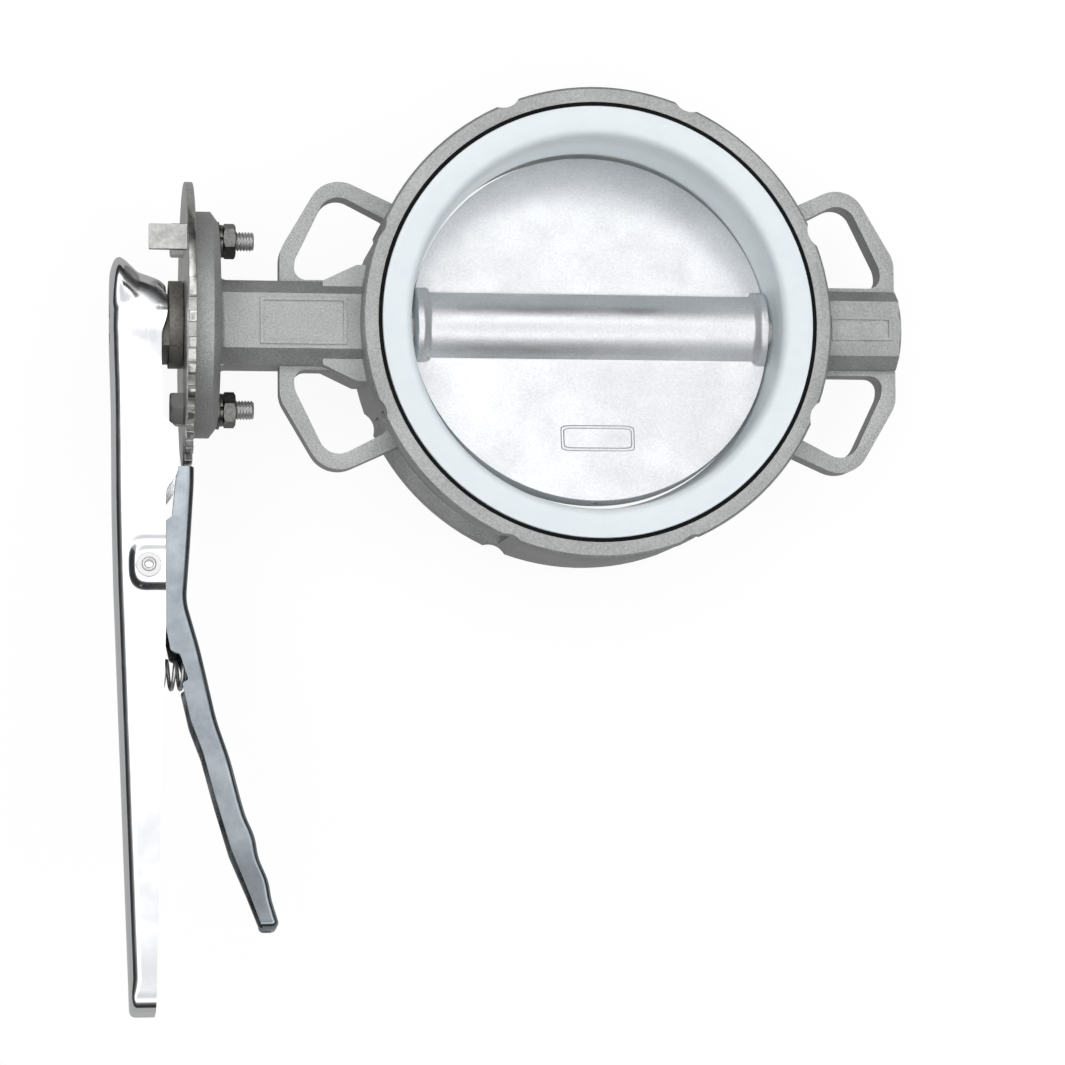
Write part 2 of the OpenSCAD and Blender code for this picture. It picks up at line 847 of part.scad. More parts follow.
module disc() {
    color("whitesmoke")
        turned()
            difference() {
                union() {
                    intersection() {
                        sphere(r = disc_r);
                        union() {
                            cylinder(r = disc_r - disc_bevel, h = disc_t, center = true);
                            cylinder(r = disc_r + 1, h = disc_t - 2 * disc_bevel, center = true);
                        }
                    }
                    rotate([0, quarter_turn, 0])
                        cylinder(r = hub_r, h = 2 * collar_end, center = true);
                    for (side = [-1, 1])
                        rotate([0, side * quarter_turn, 0])
                            translate([0, 0, collar_end - collar_w])
                                cylinder(r = collar_r, h = collar_w);
                    for (side = [0, 1])
                        mirror([0, side, 0])
                            for (face = [0, 1])
                                mirror([0, 0, face])
                                    hub_fillet_bar(2 * (collar_end - collar_w));
                    translate([disc_plate_x - disc_plate_l / 2, -disc_plate_y - disc_plate_w / 2, 0])
                        cube([disc_plate_l, disc_plate_w, disc_t / 2 + disc_plate_h]);
                }
                // bores for the two stems, with a square pocket for the drive
                for (side = [-1, 1])
                    rotate([0, side * quarter_turn, 0])
                        translate([0, 0, stem_inner])
                            cylinder(r = stem_r, h = disc_r);
                up_stem(stem_inner - drive_l)
                    translate([-drive_w / 2, -drive_w / 2, 0])
                        intersection() {
                            cube([drive_w, drive_w, drive_l + eps]);
                            translate([drive_w / 2, drive_w / 2, 0])
                                cylinder(r = stem_r, h = drive_l + eps);
                        }
            }
}

// a square drive with its corners turned down to the stem's radius
module square_drive(l) {
    intersection() {
        translate([-drive_w / 2, -drive_w / 2, 0])
            cube([drive_w, drive_w, l]);
        cylinder(r = stem_r, h = l);
    }
}

module drive_stem() {
    color("lightgray")
        turned()
            difference() {
                union() {
                    up_stem(stem_inner)
                        cylinder(r = stem_r, h = plate_top - stem_inner);
                    up_stem(stem_inner - drive_l)
                        square_drive(drive_l + eps);
                    up_stem(plate_top - eps)
                        square_drive(hub_top - sheet_t / 2);
                }
                up_stem(plate_top + hub_top - screw_l)
                    cylinder(r = bolt_r, h = screw_l);
            }
}

module stub_stem() {
    color("lightgray")
        turned()
            down_stem(stem_inner)
                cylinder(r = stem_r, h = boss_end - plug_l - gasket_t - pass_gap - stem_inner);
}

module lever_hub() {
    color("silver")
        turned()
            difference() {
                union() {
                    up_stem(plate_top + pass_gap)
                        cylinder(r = lever_hub_r, h = lever_hub_h - pass_gap);
                    in_lever_axes()
                        translate([0, plate_top + lever_hub_h - eps, 0])
                            rotate([-quarter_turn, 0, 0]) {
                                translate([head_s, 0, 0])
                                    cylinder(r = wall_in - side_gap, h = hub_top - lever_hub_h);
                                translate([head_s, -wall_in, 0])
                                    cube([block_l - head_s, 2 * wall_in, hub_top - lever_hub_h]);
                            }
                }
                up_stem(plate_top)
                    square_drive(hub_top + 1);
            }
}

module lever_washer() {
    color("silver")
        turned()
            up_stem(plate_top + hub_top - eps)
                washer(lever_back - sheet_t - 2 * side_gap, bolt_r + bolt_clear, sheet_t + eps);
}

module lever_screw() {
    color("silver")
        turned()
            difference() {
                union() {
                    up_stem(plate_top + hub_top + sheet_t - screw_l)
                        cylinder(r = bolt_r, h = screw_l + eps);
                    up_stem(plate_top + hub_top + sheet_t)
                        cylinder(r = screw_head_r, h = screw_head_h);
                }
                up_stem(plate_top + hub_top + sheet_t + screw_head_h / 2)
                    cylinder(r = screw_key_r, h = screw_head_h, $fn = 6);
            }
}

// outline of the lever's back seen from its side: along the lever, then up the stem
function lever_outline(skin) = [
    [0, back_h - skin], [lever_bend, bend_h - skin],
    [lever_len - 2 * sheet_t, tip_h + drop_rate * 2 * sheet_t - skin],
    [lever_len - skin, tip_h - 2 * sheet_t]];

// outline of the lever seen from above; skin moves it in
function lever_plan(skin) = let (r = lever_w / 2 - skin) concat(
    [for (i = [0:4 * arc_steps]) let (a = quarter_turn + half_turn * i / (4 * arc_steps))
        [head_s + r * cos(a), r * sin(a)]],
    [[lever_len - skin - sheet_t, -r], [lever_len - skin, -r + sheet_t],
     [lever_len - skin, r - sheet_t], [lever_len - skin - sheet_t, r]]);

// a plan outline carried the whole height of the lever
module lever_column(plan) {
    translate([0, back_h + lever_top, 0])
        rotate([quarter_turn, 0, 0])
            linear_extrude(height = 2 * back_h)
                polygon(plan);
}

module lever_handle() {
    base = plate_top;
    color("silver")
        in_lever()
            difference() {
                union() {
                    difference() {
                        intersection() {
                            linear_extrude(height = lever_w, center = true)
                                polygon(concat(lever_outline(0), [
                                    [lever_len, base + edge_tip_h + sheet_t / 2],
                                    [lever_len - sheet_t, base + edge_tip_h],
                                    [pivot_s + dimple_r + elbow_s, base + edge_h],
                                    [guard_end + 2 * sheet_t, base + edge_h],
                                    [guard_end, base + guard_h],
                                    [guard_start, base + guard_h],
                                    [relief_end, base + relief_h],
                                    [relief_start, base + relief_h],
                                    [head_s, base + lever_hub_h + pass_gap],
                                    [-lever_back, base + lever_hub_h + pass_gap],
                                    [-lever_back, back_h]]));
                            lever_column(lever_plan(0));
                        }
                        intersection() {
                            linear_extrude(height = lever_w, center = true)
                                polygon(concat(lever_outline(sheet_t), [
                                    [lever_len, base - 2 * sheet_t],
                                    [-lever_back, base - 2 * sheet_t],
                                    [-lever_back, back_h - sheet_t]]));
                            lever_column(lever_plan(sheet_t));
                        }
                    }
                    // flared lip behind the head
                    intersection() {
                        linear_extrude(height = lever_w, center = true)
                            polygon([
                                [head_s - wall_in - sheet_t / 2, back_h],
                                [head_s - wall_in - sheet_t / 2, back_h - lip_drop],
                                [-lever_back - lip_l / 3, back_h - lip_drop],
                                [-lever_back - lip_l, back_h - lip_edge],
                                [-lever_back - lip_l + lip_edge / 3, back_h - lip_edge / 3],
                                [-lever_back - lip_l + lip_edge, back_h]]);
                        translate([head_s - lip_l, back_h, 0])
                            rotate([quarter_turn, 0, 0])
                                cylinder(r = lever_w / 2, h = lever_top);
                    }
                    // pressed seats round the trigger pin
                    for (side = [0, 1])
                        mirror([0, 0, side])
                            translate([pivot_s, base + pivot_h, seat_in])
                                intersection() {
                                    translate([-dimple_r - sheet_t / 2, -dimple_h / 2 - sheet_t / 2, 0])
                                        cube([2 * dimple_r + sheet_t, dimple_h + sheet_t,
                                              dimple_d + sheet_t / 2]);
                                    translate([-lever_len, edge_h - pivot_h, 0])
                                        cube([2 * lever_len, lever_top, 2 * sheet_t]);
                                }
                }
                for (side = [0, 1])
                    mirror([0, 0, side])
                        translate([pivot_s, base + pivot_h, wall_in])
                            linear_extrude(height = sheet_t + eps)
                                polygon(rounded([
                                    [-dimple_r, -dimple_h / 2], [dimple_r, -dimple_h / 2],
                                    [dimple_r, dimple_h / 2], [-dimple_r, dimple_h / 2]],
                                    [for (i = [0:3]) dimple_h / 3]));
                translate([pivot_s, base + pivot_h, 0])
                    cylinder(r = pin_r, h = 2 * lever_w, center = true);
                translate([0, back_h, 0])
                    rotate([quarter_turn, 0, 0])
                        cylinder(r = access_r, h = 4 * sheet_t, center = true);
            }
}

module trigger_pin() {
    color("silver")
        in_lever()
            translate([pivot_s, plate_top + pivot_h, 0])
                cylinder(r = pin_r, h = 2 * pin_half, center = true);
}

module pin_washers() {
    color("silver")
        in_lever()
            for (side = [0, 1])
                mirror([0, 0, side])
                    translate([pivot_s, plate_top + pivot_h, wall_in])
                        washer(pin_washer_r, pin_r, pin_washer_t);
}

// depth of the trigger's arm at distance u beyond its elbow
function arm_depth(u) = u < arm_l * 0.75 ? arm_d
    : arm_d + (arm_tip_d - arm_d) * (u / arm_l - 0.75) * 4;
// finger waves on the arm at distance u
function wave(u) = let (v = (u - arm_l * 0.56) / wave_l)
    v < 0 || v > wave_count ? 0 : wave_h * sin(v * 2 * half_turn);

// side outline of the trigger; grow moves the walls' edge out, skin moves the web in
function trigger_outline(skin, grow) = concat(
    [[nose_s + nose_l + skin, plate_top - nose_low + skin]],
    [elbow + [0, skin]],
    [for (u = [arm_l * 0.5:wave_l / 6:arm_l * 0.94])
        elbow + arm_dir * u + arm_up * (skin + wave(u))],
    [elbow + arm_dir * (arm_l - arm_tip_d / 3 - skin) + arm_up * skin],
    [elbow + arm_dir * (arm_l - skin) + arm_up * (skin + arm_tip_d / 3)],
    [elbow + arm_dir * (arm_l - skin) + arm_up * (arm_tip_d + grow)],
    [elbow + arm_dir * arm_l * 0.75 + arm_up * (arm_d + grow)],
    [[pivot_s + slot_s + slot_l,
      elbow[1] - (slot_s + slot_l - elbow_s) * tan(arm_angle) + arm_d * 1.05 + grow]],
    [[pivot_s + slot_s, plate_top + edge_h - sheet_t + grow]],
    [[pivot_s + elbow_s * 0.8, plate_top + pivot_h + sheet_t + grow]],
    [[pivot_s, plate_top + pivot_h + 3 * pin_r + grow]],
    [[pivot_s - elbow_s, plate_top + pivot_h + grow]],
    [[nose_s + nose_l + skin, plate_top + nose_high + grow]]);

module trigger() {
    slot_low = elbow[1] - (slot_s - elbow_s) * tan(arm_angle) + arm_d - slot_d;
    color("silver")
        in_lever()
            difference() {
                union() {
                    difference() {
                        linear_extrude(height = 2 * trigger_half, center = true)
                            polygon(trigger_outline(0, 0));
                        linear_extrude(height = 2 * (trigger_half - sheet_t), center = true)
                            polygon(trigger_outline(sheet_t, lever_top));
                    }
                    // latch nose that drops between two teeth
                    translate([nose_s, plate_top - nose_low, -nose_w / 2])
                        cube([nose_l + 2 * sheet_t, nose_low + nose_high, nose_w]);
                    // cup the spring stands on
                    translate([spring_s, spring_low - 2 * sheet_t, 0])
                        rotate([-quarter_turn, 0, 0])
                            cylinder(r = spring_r, h = 2 * sheet_t - wire_r);
                }
                translate([pivot_s, plate_top + pivot_h, 0])
                    cylinder(r = pin_r + run_gap, h = lever_w, center = true);
                // slot in both walls beside the spring
                translate([pivot_s + slot_s, slot_low, -lever_w])
                    cube([slot_l, arm_d, 2 * lever_w]);
            }
}

module trigger_spring() {
    ring_steps = 10;
    turn_steps = 20;
    tall = spring_high - spring_low - 2 * wire_r;
    steps = coil_count * turn_steps;
    points = [for (i = [0:steps])
        let (a = 2 * half_turn * i / turn_steps, h = tall * i / steps)
        for (j = [0:ring_steps - 1])
            let (b = 2 * half_turn * j / ring_steps,
                 r = spring_r - wire_r + wire_r * cos(b))
            [r * cos(a), r * sin(a), wire_r + h + wire_r * sin(b)]];
    sides = [for (i = [0:steps - 1]) for (j = [0:ring_steps - 1])
        let (k = (j + 1) % ring_steps)
        each [[i * ring_steps + j, i * ring_steps + k, (i + 1) * ring_steps + k],
              [i * ring_steps + j, (i + 1) * ring_steps + k, (i + 1) * ring_steps + j]]];
    ends = [
        [for (j = [0:ring_steps - 1]) ring_steps - 1 - j],
        [for (j = [0:ring_steps - 1]) steps * ring_steps + j]];
    color("silver")
        in_lever()
            translate([spring_s, spring_low, 0])
                rotate([-quarter_turn, 0, 0])
                    polyhedron(points = points, faces = concat(sides, ends), convexity = 10);
}

valve_body();
seat_backing_ring();
ptfe_seat();
neck_bush_inner();
neck_bush_outer();
stem_seal_rings();
stem_top_seal();
gland_washer();
stub_bush();
stub_seal_ring();
plug_gasket();
bottom_plug();
notch_plate();
plate_bolts();
flat_washers();
spring_washers();
plate_nuts();
disc();
drive_stem();
stub_stem();
lever_hub();
lever_handle();
lever_washer();
lever_screw();
trigger_pin();
pin_washers();
trigger();
trigger_spring();
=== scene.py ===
"""Looks for the wafer butterfly valve: camera, light, finishes and the pieces that replace CAD stand-ins."""

import json
import logging
import math
from collections.abc import Sequence
from dataclasses import dataclass
from enum import Enum

import bmesh
import bpy
import numpy as np
from mathutils import Matrix, Vector

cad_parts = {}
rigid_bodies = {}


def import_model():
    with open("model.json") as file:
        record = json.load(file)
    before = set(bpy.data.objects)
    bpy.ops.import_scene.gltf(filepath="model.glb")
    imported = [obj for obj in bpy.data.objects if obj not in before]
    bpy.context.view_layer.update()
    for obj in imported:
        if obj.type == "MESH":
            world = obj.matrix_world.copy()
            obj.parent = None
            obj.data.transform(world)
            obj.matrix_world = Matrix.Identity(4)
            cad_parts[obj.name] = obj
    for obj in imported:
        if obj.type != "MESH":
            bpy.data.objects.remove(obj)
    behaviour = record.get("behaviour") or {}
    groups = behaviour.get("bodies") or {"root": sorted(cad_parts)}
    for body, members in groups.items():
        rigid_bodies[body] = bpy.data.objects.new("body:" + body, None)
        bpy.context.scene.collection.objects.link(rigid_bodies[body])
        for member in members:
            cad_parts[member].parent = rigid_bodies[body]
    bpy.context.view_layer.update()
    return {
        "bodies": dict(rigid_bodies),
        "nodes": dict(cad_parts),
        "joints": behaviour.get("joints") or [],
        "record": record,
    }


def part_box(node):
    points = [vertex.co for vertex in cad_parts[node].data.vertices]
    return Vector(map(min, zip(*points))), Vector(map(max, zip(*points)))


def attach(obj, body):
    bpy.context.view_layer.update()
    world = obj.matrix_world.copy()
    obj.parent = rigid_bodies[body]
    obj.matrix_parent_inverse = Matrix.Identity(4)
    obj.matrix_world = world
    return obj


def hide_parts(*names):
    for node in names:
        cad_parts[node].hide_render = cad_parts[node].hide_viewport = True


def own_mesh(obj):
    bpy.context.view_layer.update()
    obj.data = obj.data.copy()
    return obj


LOG = logging.getLogger("valve")
MM = 0.001
OPEN = math.radians(10.0)  # how far the disc rests from shut
PLATE_TOP = 168.9  # outer face of the notch plate, up the stem from the disc's middle
DOUBLES = 2e-6  # points of a new surface nearer than this are one, in metres
NODE_DOUBLES = 2e-5  # the same for a CAD node's loose triangles
SHEET_EDGE = 0.35  # rounding of a pressed sheet's edges, in millimetres
SEAT_DEPTH = (0.004, 0.005, 0.006)  # how far light wanders in the white seat, in metres
Array = np.ndarray


class Body(str, Enum):
    """The CAD's moving bodies."""

    VALVE = "valve"
    LEVER = "disc_and_lever"
    TRIGGER = "trigger"


# ---------------------------------------------------------------- node groups


@dataclass(frozen=True)
class Wire:
    """A small helper that adds shader nodes to one tree and links them."""

    tree: bpy.types.NodeTree

    def node(self, kind: str, **sockets: object) -> bpy.types.Node:
        """Adds a node.

        Args:
            kind: The node's type name.
            sockets: Socket name, or i and its number, to a value or another node's output. A name with
                a leading "p_" sets a property instead.

        Returns:
            The new node.
        """
        made = self.tree.nodes.new(kind)
        for key, value in sockets.items():
            if key.startswith("p_"):
                setattr(made, key[2:], value)
                continue
            numbered = key[0] == "i" and key[1:].isdigit()
            socket = made.inputs[int(key[1:]) if numbered else key.replace("_", " ")]
            if isinstance(value, bpy.types.NodeSocket):
                self.tree.links.new(value, socket)
            else:
                socket.default_value = value
        return made

    def math(self, kind: str, a: object, b: object = 0.0, clamp: bool = False) -> bpy.types.NodeSocket:
        """One Math node; returns its output."""
        return self.node("ShaderNodeMath", p_operation=kind, p_use_clamp=clamp, i0=a, i1=b).outputs[0]

    def noise(self, vector: object, scale: object, detail: float, rough: float) -> bpy.types.NodeSocket:
        """One 3-D Noise texture; returns its value between about 0.3 and 0.7."""
        made = self.node("ShaderNodeTexNoise", Vector=vector, Scale=scale, Detail=detail, Roughness=rough)
        return made.outputs["Fac"]

    def link(self, source: bpy.types.NodeSocket, target: bpy.types.NodeSocket) -> None:
        """Links an output to an input."""
        self.tree.links.new(source, target)

    def group(self, name: str, tree: bpy.types.NodeTree, **values: float) -> bpy.types.Node:
        """Places a shared group.

        Args:
            name: The node's label.
            tree: The group.
            values: Input name to value.

        Returns:
            The group's node.
        """
        made = self.node("ShaderNodeGroup", p_node_tree=tree, p_label=name)
        for key, value in values.items():
            made.inputs[key].default_value = value
        return made


def new_group(
    name: str, ins: dict[str, float], outs: Sequence[str]
) -> tuple[Wire, bpy.types.Node, bpy.types.Node]:
    """Makes a shader node group with float sockets.

    Args:
        name: The group's name.
        ins: Input name to default value.
        outs: Output names.

    Returns:
        A Wire on the group's tree, its input node and its output node.
    """
    tree = bpy.data.node_groups.new(name, "ShaderNodeTree")
    for key, value in ins.items():
        socket = tree.interface.new_socket(key, in_out="INPUT", socket_type="NodeSocketFloat")
        socket.default_value = value
    for key in outs:
        tree.interface.new_socket(key, in_out="OUTPUT", socket_type="NodeSocketFloat")
    return Wire(tree), tree.nodes.new("NodeGroupInput"), tree.nodes.new("NodeGroupOutput")


def grain_group() -> bpy.types.NodeTree:
    """Blasted casting: fine pits and a slow mottle.

    Shade is fine noise plus slow noise, Height is fine noise alone.

    Returns:
        The group.
    """
    wire, ins, outs = new_group("cast_grain", {"Grains": 1400.0, "Mottle": 45.0}, ("Shade", "Height"))
    spot = wire.node("ShaderNodeTexCoord").outputs["Object"]
    fine = wire.noise(spot, ins.outputs["Grains"], 3.0, 0.65)
    slow = wire.noise(spot, ins.outputs["Mottle"], 3.0, 0.6)
    both = wire.math("ADD", wire.math("MULTIPLY", fine, 0.65), wire.math("MULTIPLY", slow, 0.35))
    spread = wire.node("ShaderNodeMapRange", Value=both, From_Min=0.36, From_Max=0.64).outputs[0]
    wire.link(spread, outs.inputs["Shade"])
    wire.link(fine, outs.inputs["Height"])
    return wire.tree


def handling_group() -> bpy.types.NodeTree:
    """Handled metal: soft smears, and short fine scratches along one axis.

    Smear is slow noise stretched to 0..1, Scratch is noise squeezed along X so that it draws out in streaks.

    Returns:
        The group.
    """
    wire, ins, outs = new_group("handling", {"Smears": 30.0, "Streaks": 500.0}, ("Smear", "Scratch"))
    spot = wire.node("ShaderNodeTexCoord").outputs["Object"]
    slow = wire.noise(spot, ins.outputs["Smears"], 4.0, 0.6)
    thin = wire.node("ShaderNodeVectorMath", p_operation="MULTIPLY", i0=spot, i1=(1.0, 0.06, 0.25)).outputs[0]
    streak = wire.noise(thin, ins.outputs["Streaks"], 2.0, 0.6)
    smear = wire.node("ShaderNodeMapRange", Value=slow, From_Min=0.35, From_Max=0.65).outputs[0]
    scratch = wire.node("ShaderNodeMapRange", Value=streak, From_Min=0.35, From_Max=0.65).outputs[0]
    wire.link(smear, outs.inputs["Smear"])
    wire.link(scratch, outs.inputs["Scratch"])
    return wire.tree


# ---------------------------------------------------------------- finishes


@dataclass(frozen=True)
class Finish:
    """One finish: two colours it wanders between, its roughness range and its surface relief.

    Grains, mottle, smears and streaks are counts per metre for the shared effects. Relief and scratch_relief
    are heights in millimetres. The rest goes to the shader as it is.
    """

    name: str
    light: tuple[float, float, float]
    dark: tuple[float, float, float]
    metallic: float = 1.0
    rough: tuple[float, float] = (0.35, 0.5)
    grains: float = 1400.0
    mottle: float = 45.0
    relief: float = 0.0
    smears: float = 30.0
    streaks: float = 500.0
    scratch_relief: float = 0.0
    subsurface: float = 0.0
    specular: float = 0.5

    def material(self) -> bpy.types.Material:
        """Builds the node material: grain and handling groups drive colour, roughness and bump.

        Returns:
            The material, made once.
        """
        have = bpy.data.materials.get(self.name)
        if have:
            return have
        mat = bpy.data.materials.new(self.name)
        mat.use_nodes = True
        wire = Wire(mat.node_tree)
        shader = mat.node_tree.nodes["Principled BSDF"]
        groups = bpy.data.node_groups
        grain_tree = groups.get("cast_grain") or grain_group()
        hand_tree = groups.get("handling") or handling_group()
        grain = wire.group("grain", grain_tree, Grains=self.grains, Mottle=self.mottle)
        hand = wire.group("handling", hand_tree, Smears=self.smears, Streaks=self.streaks)
        tone = wire.node("ShaderNodeMix", p_data_type="RGBA", Factor=grain.outputs["Shade"])
        tone.inputs["A"].default_value = (*self.dark, 1)
        tone.inputs["B"].default_value = (*self.light, 1)
        wire.link(tone.outputs["Result"], shader.inputs["Base Color"])
        low, high = self.rough
        rough = wire.node("ShaderNodeMapRange", Value=hand.outputs["Smear"], To_Min=low, To_Max=high)
        wire.link(rough.outputs[0], shader.inputs["Roughness"])
        shader.inputs["Metallic"].default_value = self.metallic
        shader.inputs["Specular IOR Level"].default_value = self.specular
        shader.inputs["Subsurface Weight"].default_value = self.subsurface
        shader.inputs["Subsurface Radius"].default_value = SEAT_DEPTH
        height = wire.math(
            "ADD",
            wire.math("MULTIPLY", grain.outputs["Height"], self.relief),
            wire.math("MULTIPLY", hand.outputs["Scratch"], self.scratch_relief),
        )
        if self.relief or self.scratch_relief:
            bump = wire.node("ShaderNodeBump", Strength=1.0, Distance=0.001, Height=height)
            wire.link(bump.outputs["Normal"], shader.inputs["Normal"])
        return mat


CAST = Finish(
    "blasted_casting", (0.55, 0.56, 0.55), (0.34, 0.345, 0.338), metallic=0.7, rough=(0.42, 0.6),
    grains=1300.0, mottle=60.0, relief=0.28,
)
DISC_FACE = Finish(
    "disc_satin", (0.80, 0.81, 0.82), (0.66, 0.67, 0.68), metallic=0.9, rough=(0.34, 0.5),
    grains=1000.0, mottle=35.0, relief=0.06,
)
POLISHED = Finish(
    "polished_sheet", (0.86, 0.87, 0.88), (0.78, 0.79, 0.80), metallic=1.0, rough=(0.07, 0.2),
    grains=60.0, mottle=25.0, relief=0.0, smears=60.0, streaks=900.0, scratch_relief=0.006,
)
SHEET = Finish(
    "rolled_sheet", (0.62, 0.62, 0.60), (0.42, 0.42, 0.40), metallic=1.0, rough=(0.24, 0.45),
    grains=500.0, mottle=80.0, relief=0.03, smears=80.0, streaks=700.0, scratch_relief=0.02,
)
TURNED = Finish(
    "turned_steel", (0.55, 0.55, 0.52), (0.36, 0.36, 0.34), metallic=1.0, rough=(0.3, 0.5),
    grains=700.0, mottle=70.0, relief=0.05, smears=60.0, streaks=600.0, scratch_relief=0.02,
)
BOLTED = Finish(
    "fastener_steel", (0.47, 0.47, 0.45), (0.28, 0.28, 0.27), metallic=1.0, rough=(0.22, 0.4),
    grains=600.0, mottle=90.0, relief=0.02, smears=90.0, streaks=900.0, scratch_relief=0.012,
)
SEAT = Finish(
    "moulded_seat", (0.90, 0.97, 0.99), (0.85, 0.93, 0.96), metallic=0.0, rough=(0.28, 0.42),
    grains=90.0, mottle=18.0, relief=0.01, smears=25.0, streaks=300.0, scratch_relief=0.0,
    subsurface=0.15,
)
DARK_STEEL = Finish(
    "dark_steel", (0.24, 0.24, 0.225), (0.12, 0.12, 0.115), metallic=1.0, rough=(0.25, 0.45),
    grains=600.0, mottle=90.0, relief=0.02, smears=90.0,
)
RUBBER = Finish(
    "black_elastomer", (0.006, 0.006, 0.007), (0.003, 0.003, 0.003), metallic=0.0, rough=(0.5, 0.7),
    grains=900.0, mottle=60.0, relief=0.03, specular=0.1,
)
HUB_CAST = Finish(
    "hub_casting", (0.27, 0.265, 0.235), (0.14, 0.135, 0.12), metallic=0.4, rough=(0.4, 0.6),
    grains=900.0, mottle=90.0, relief=0.25,
)
# The trigger is the lever's polished steel with a slightly rougher finish, but its colour is painted darker
# and bluer: painted shade for the grey its leaning walls catch.
TRIGGER_PAINTED_SHADE = Finish(
    "polished_sheet_painted_shade", (0.32, 0.35, 0.37), (0.22, 0.245, 0.265), metallic=1.0, rough=(0.16, 0.32),
    grains=90.0, mottle=30.0, relief=0.0, smears=50.0, streaks=800.0, scratch_relief=0.01,
)
BRONZE = Finish(
    "sintered_bronze", (0.55, 0.40, 0.22), (0.40, 0.28, 0.14), metallic=1.0, rough=(0.4, 0.55),
    grains=1500.0, mottle=60.0, relief=0.06,
)


# ---------------------------------------------------------------- surfaces


def linked(name: str, data: bpy.types.ID) -> bpy.types.Object:
    """Makes an object of a mesh, camera or lamp and links it to the scene.

    Args:
        name: The object's name.
        data: Its mesh, camera or lamp.

    Returns:
        The new object.
    """
    obj = bpy.data.objects.new(name, data)
    bpy.context.scene.collection.objects.link(obj)
    return obj


def smoothed(mesh: bpy.types.Mesh, sharp: float) -> None:
    """Shades a mesh smooth, apart from edges steeper than sharp degrees."""
    mesh.polygons.foreach_set("use_smooth", np.ones(len(mesh.polygons), bool))
    mesh.set_sharp_from_angle(angle=math.radians(sharp))


def quads(rows: int, cols: int, wrap_u: bool, wrap_v: bool) -> list[list[int]]:
    """Faces of a grid of points: each joins a point to the next along its row, its column and both.

    Args:
        rows: Number of rows.
        cols: Number of columns.
        wrap_u: Joins the last row to the first.
        wrap_v: Joins the last column to the first.

    Returns:
        Four point numbers for each face.
    """
    index = np.arange(rows * cols).reshape(rows, cols)
    if wrap_u:
        index = np.vstack([index, index[:1]])
    if wrap_v:
        index = np.hstack([index, index[:, :1]])
    corners = [index[:-1, :-1], index[1:, :-1], index[1:, 1:], index[:-1, 1:]]
    return np.stack(corners, -1).reshape(-1, 4).tolist()


def surface(
    name: str, points: Array, wrap_u: bool = False, wrap_v: bool = False, sharp: float = 35.0
) -> bpy.types.Object:
    """Makes an object from a grid of points.

    Args:
        name: The piece's name.
        points: Array (u, v, 3) in millimetres.
        wrap_u: Joins the last row to the first.
        wrap_v: Joins the last column to the first.
        sharp: Edges steeper than this many degrees stay sharp.

    Returns:
        The new object, with doubles merged and faces pointing outwards.
    """
    rows, cols = points.shape[:2]
    return mesh_object(name, points.reshape(-1, 3), quads(rows, cols, wrap_u, wrap_v), sharp)


def mesh_object(
    name: str, points: Array, faces: Sequence[Sequence[int]], sharp: float = 35.0
) -> bpy.types.Object:
    """Makes an object from points in millimetres and faces, merged and with normals outwards.

    Args:
        name: The piece's name.
        points: Array (n, 3) in millimetres.
        faces: Point numbers of each face.
        sharp: Edges steeper than this many degrees stay sharp.

    Returns:
        The new object.
    """
    mesh = bpy.data.meshes.new(name)
    mesh.from_pydata((np.asarray(points, float) * MM).tolist(), [], faces)
    work = bmesh.new()
    work.from_mesh(mesh)
    bmesh.ops.remove_doubles(work, verts=work.verts, dist=DOUBLES)
    bmesh.ops.dissolve_degenerate(work, edges=work.edges, dist=DOUBLES / 2)
    bmesh.ops.recalc_face_normals(work, faces=work.faces)
    work.to_mesh(mesh)
    work.free()
    smoothed(mesh, sharp)
    return linked(name, mesh)


def around(steps: int) -> Array:
    """Angles of one full turn as a column: the k-th stands at 2 pi k / steps."""
    return np.linspace(0, 2 * np.pi, steps, endpoint=False)[:, None]


def spun(radius: Array, turn: Array, height: Array) -> Array:
    """Radii and heights carried round to each angle: x = r cos a, y = r sin a, z = h."""
    return np.stack([radius * np.cos(turn), radius * np.sin(turn), height + 0 * turn], -1)


def averaged(
    at: Array, stations: Sequence[float], heights: Sequence[float], reach: float, count: int
) -> Array:
    """Straight lines through stations, averaged over a window that rounds their corners.

    Args:
        at: Where to read them.
        stations: Places along the piece.
        heights: Height at each station.
        reach: Half the window's width.
        count: Readings in the window.

    Returns:
        The mean of the readings from at - reach to at + reach.
    """
    return np.mean([np.interp(at + d, stations, heights) for d in np.linspace(-reach, reach, count)], axis=0)


def smooth_max(a: Array, b: Array, soft: float) -> Array:
    """The larger of two heights, with the crease between them rounded over a width of soft.

    Args:
        a: One height.
        b: The other height.
        soft: The crease's width.

    Returns:
        The rounded larger height.
    """
    blend = np.clip(0.5 + 0.5 * (a - b) / soft, 0, 1)
    return b + (a - b) * blend + soft * blend * (1 - blend)


def smooth_step(low: float, high: float, value: Array) -> Array:
    """0 below low, 1 above high, with an S-shaped rise between.

    Args:
        low: Where the rise starts.
        high: Where it ends.
        value: Where to read it.

    Returns:
        The step, 0 to 1.
    """
    t = np.clip((value - low) / (high - low), 0, 1)
    return t * t * (3 - 2 * t)


def turned_open(points: Array) -> Array:
    """Points of the shut valve turned to the open angle about the stem: y and z turn by -OPEN.

    Args:
        points: Array (..., 3) of the shut valve.

    Returns:
        The turned points.
    """
    c, s = math.cos(OPEN), -math.sin(OPEN)
    x, y, z = points[..., 0], points[..., 1], points[..., 2]
    return np.stack([x, y * c - z * s, y * s + z * c], -1)


def from_lever(along: Array, up: Array, across: Array) -> Array:
    """Lever coordinates to the frame: along runs down -Y, up along -X, across along -Z, then turned open."""
    return turned_open(np.stack([-(up + PLATE_TOP), -along, -across], -1))


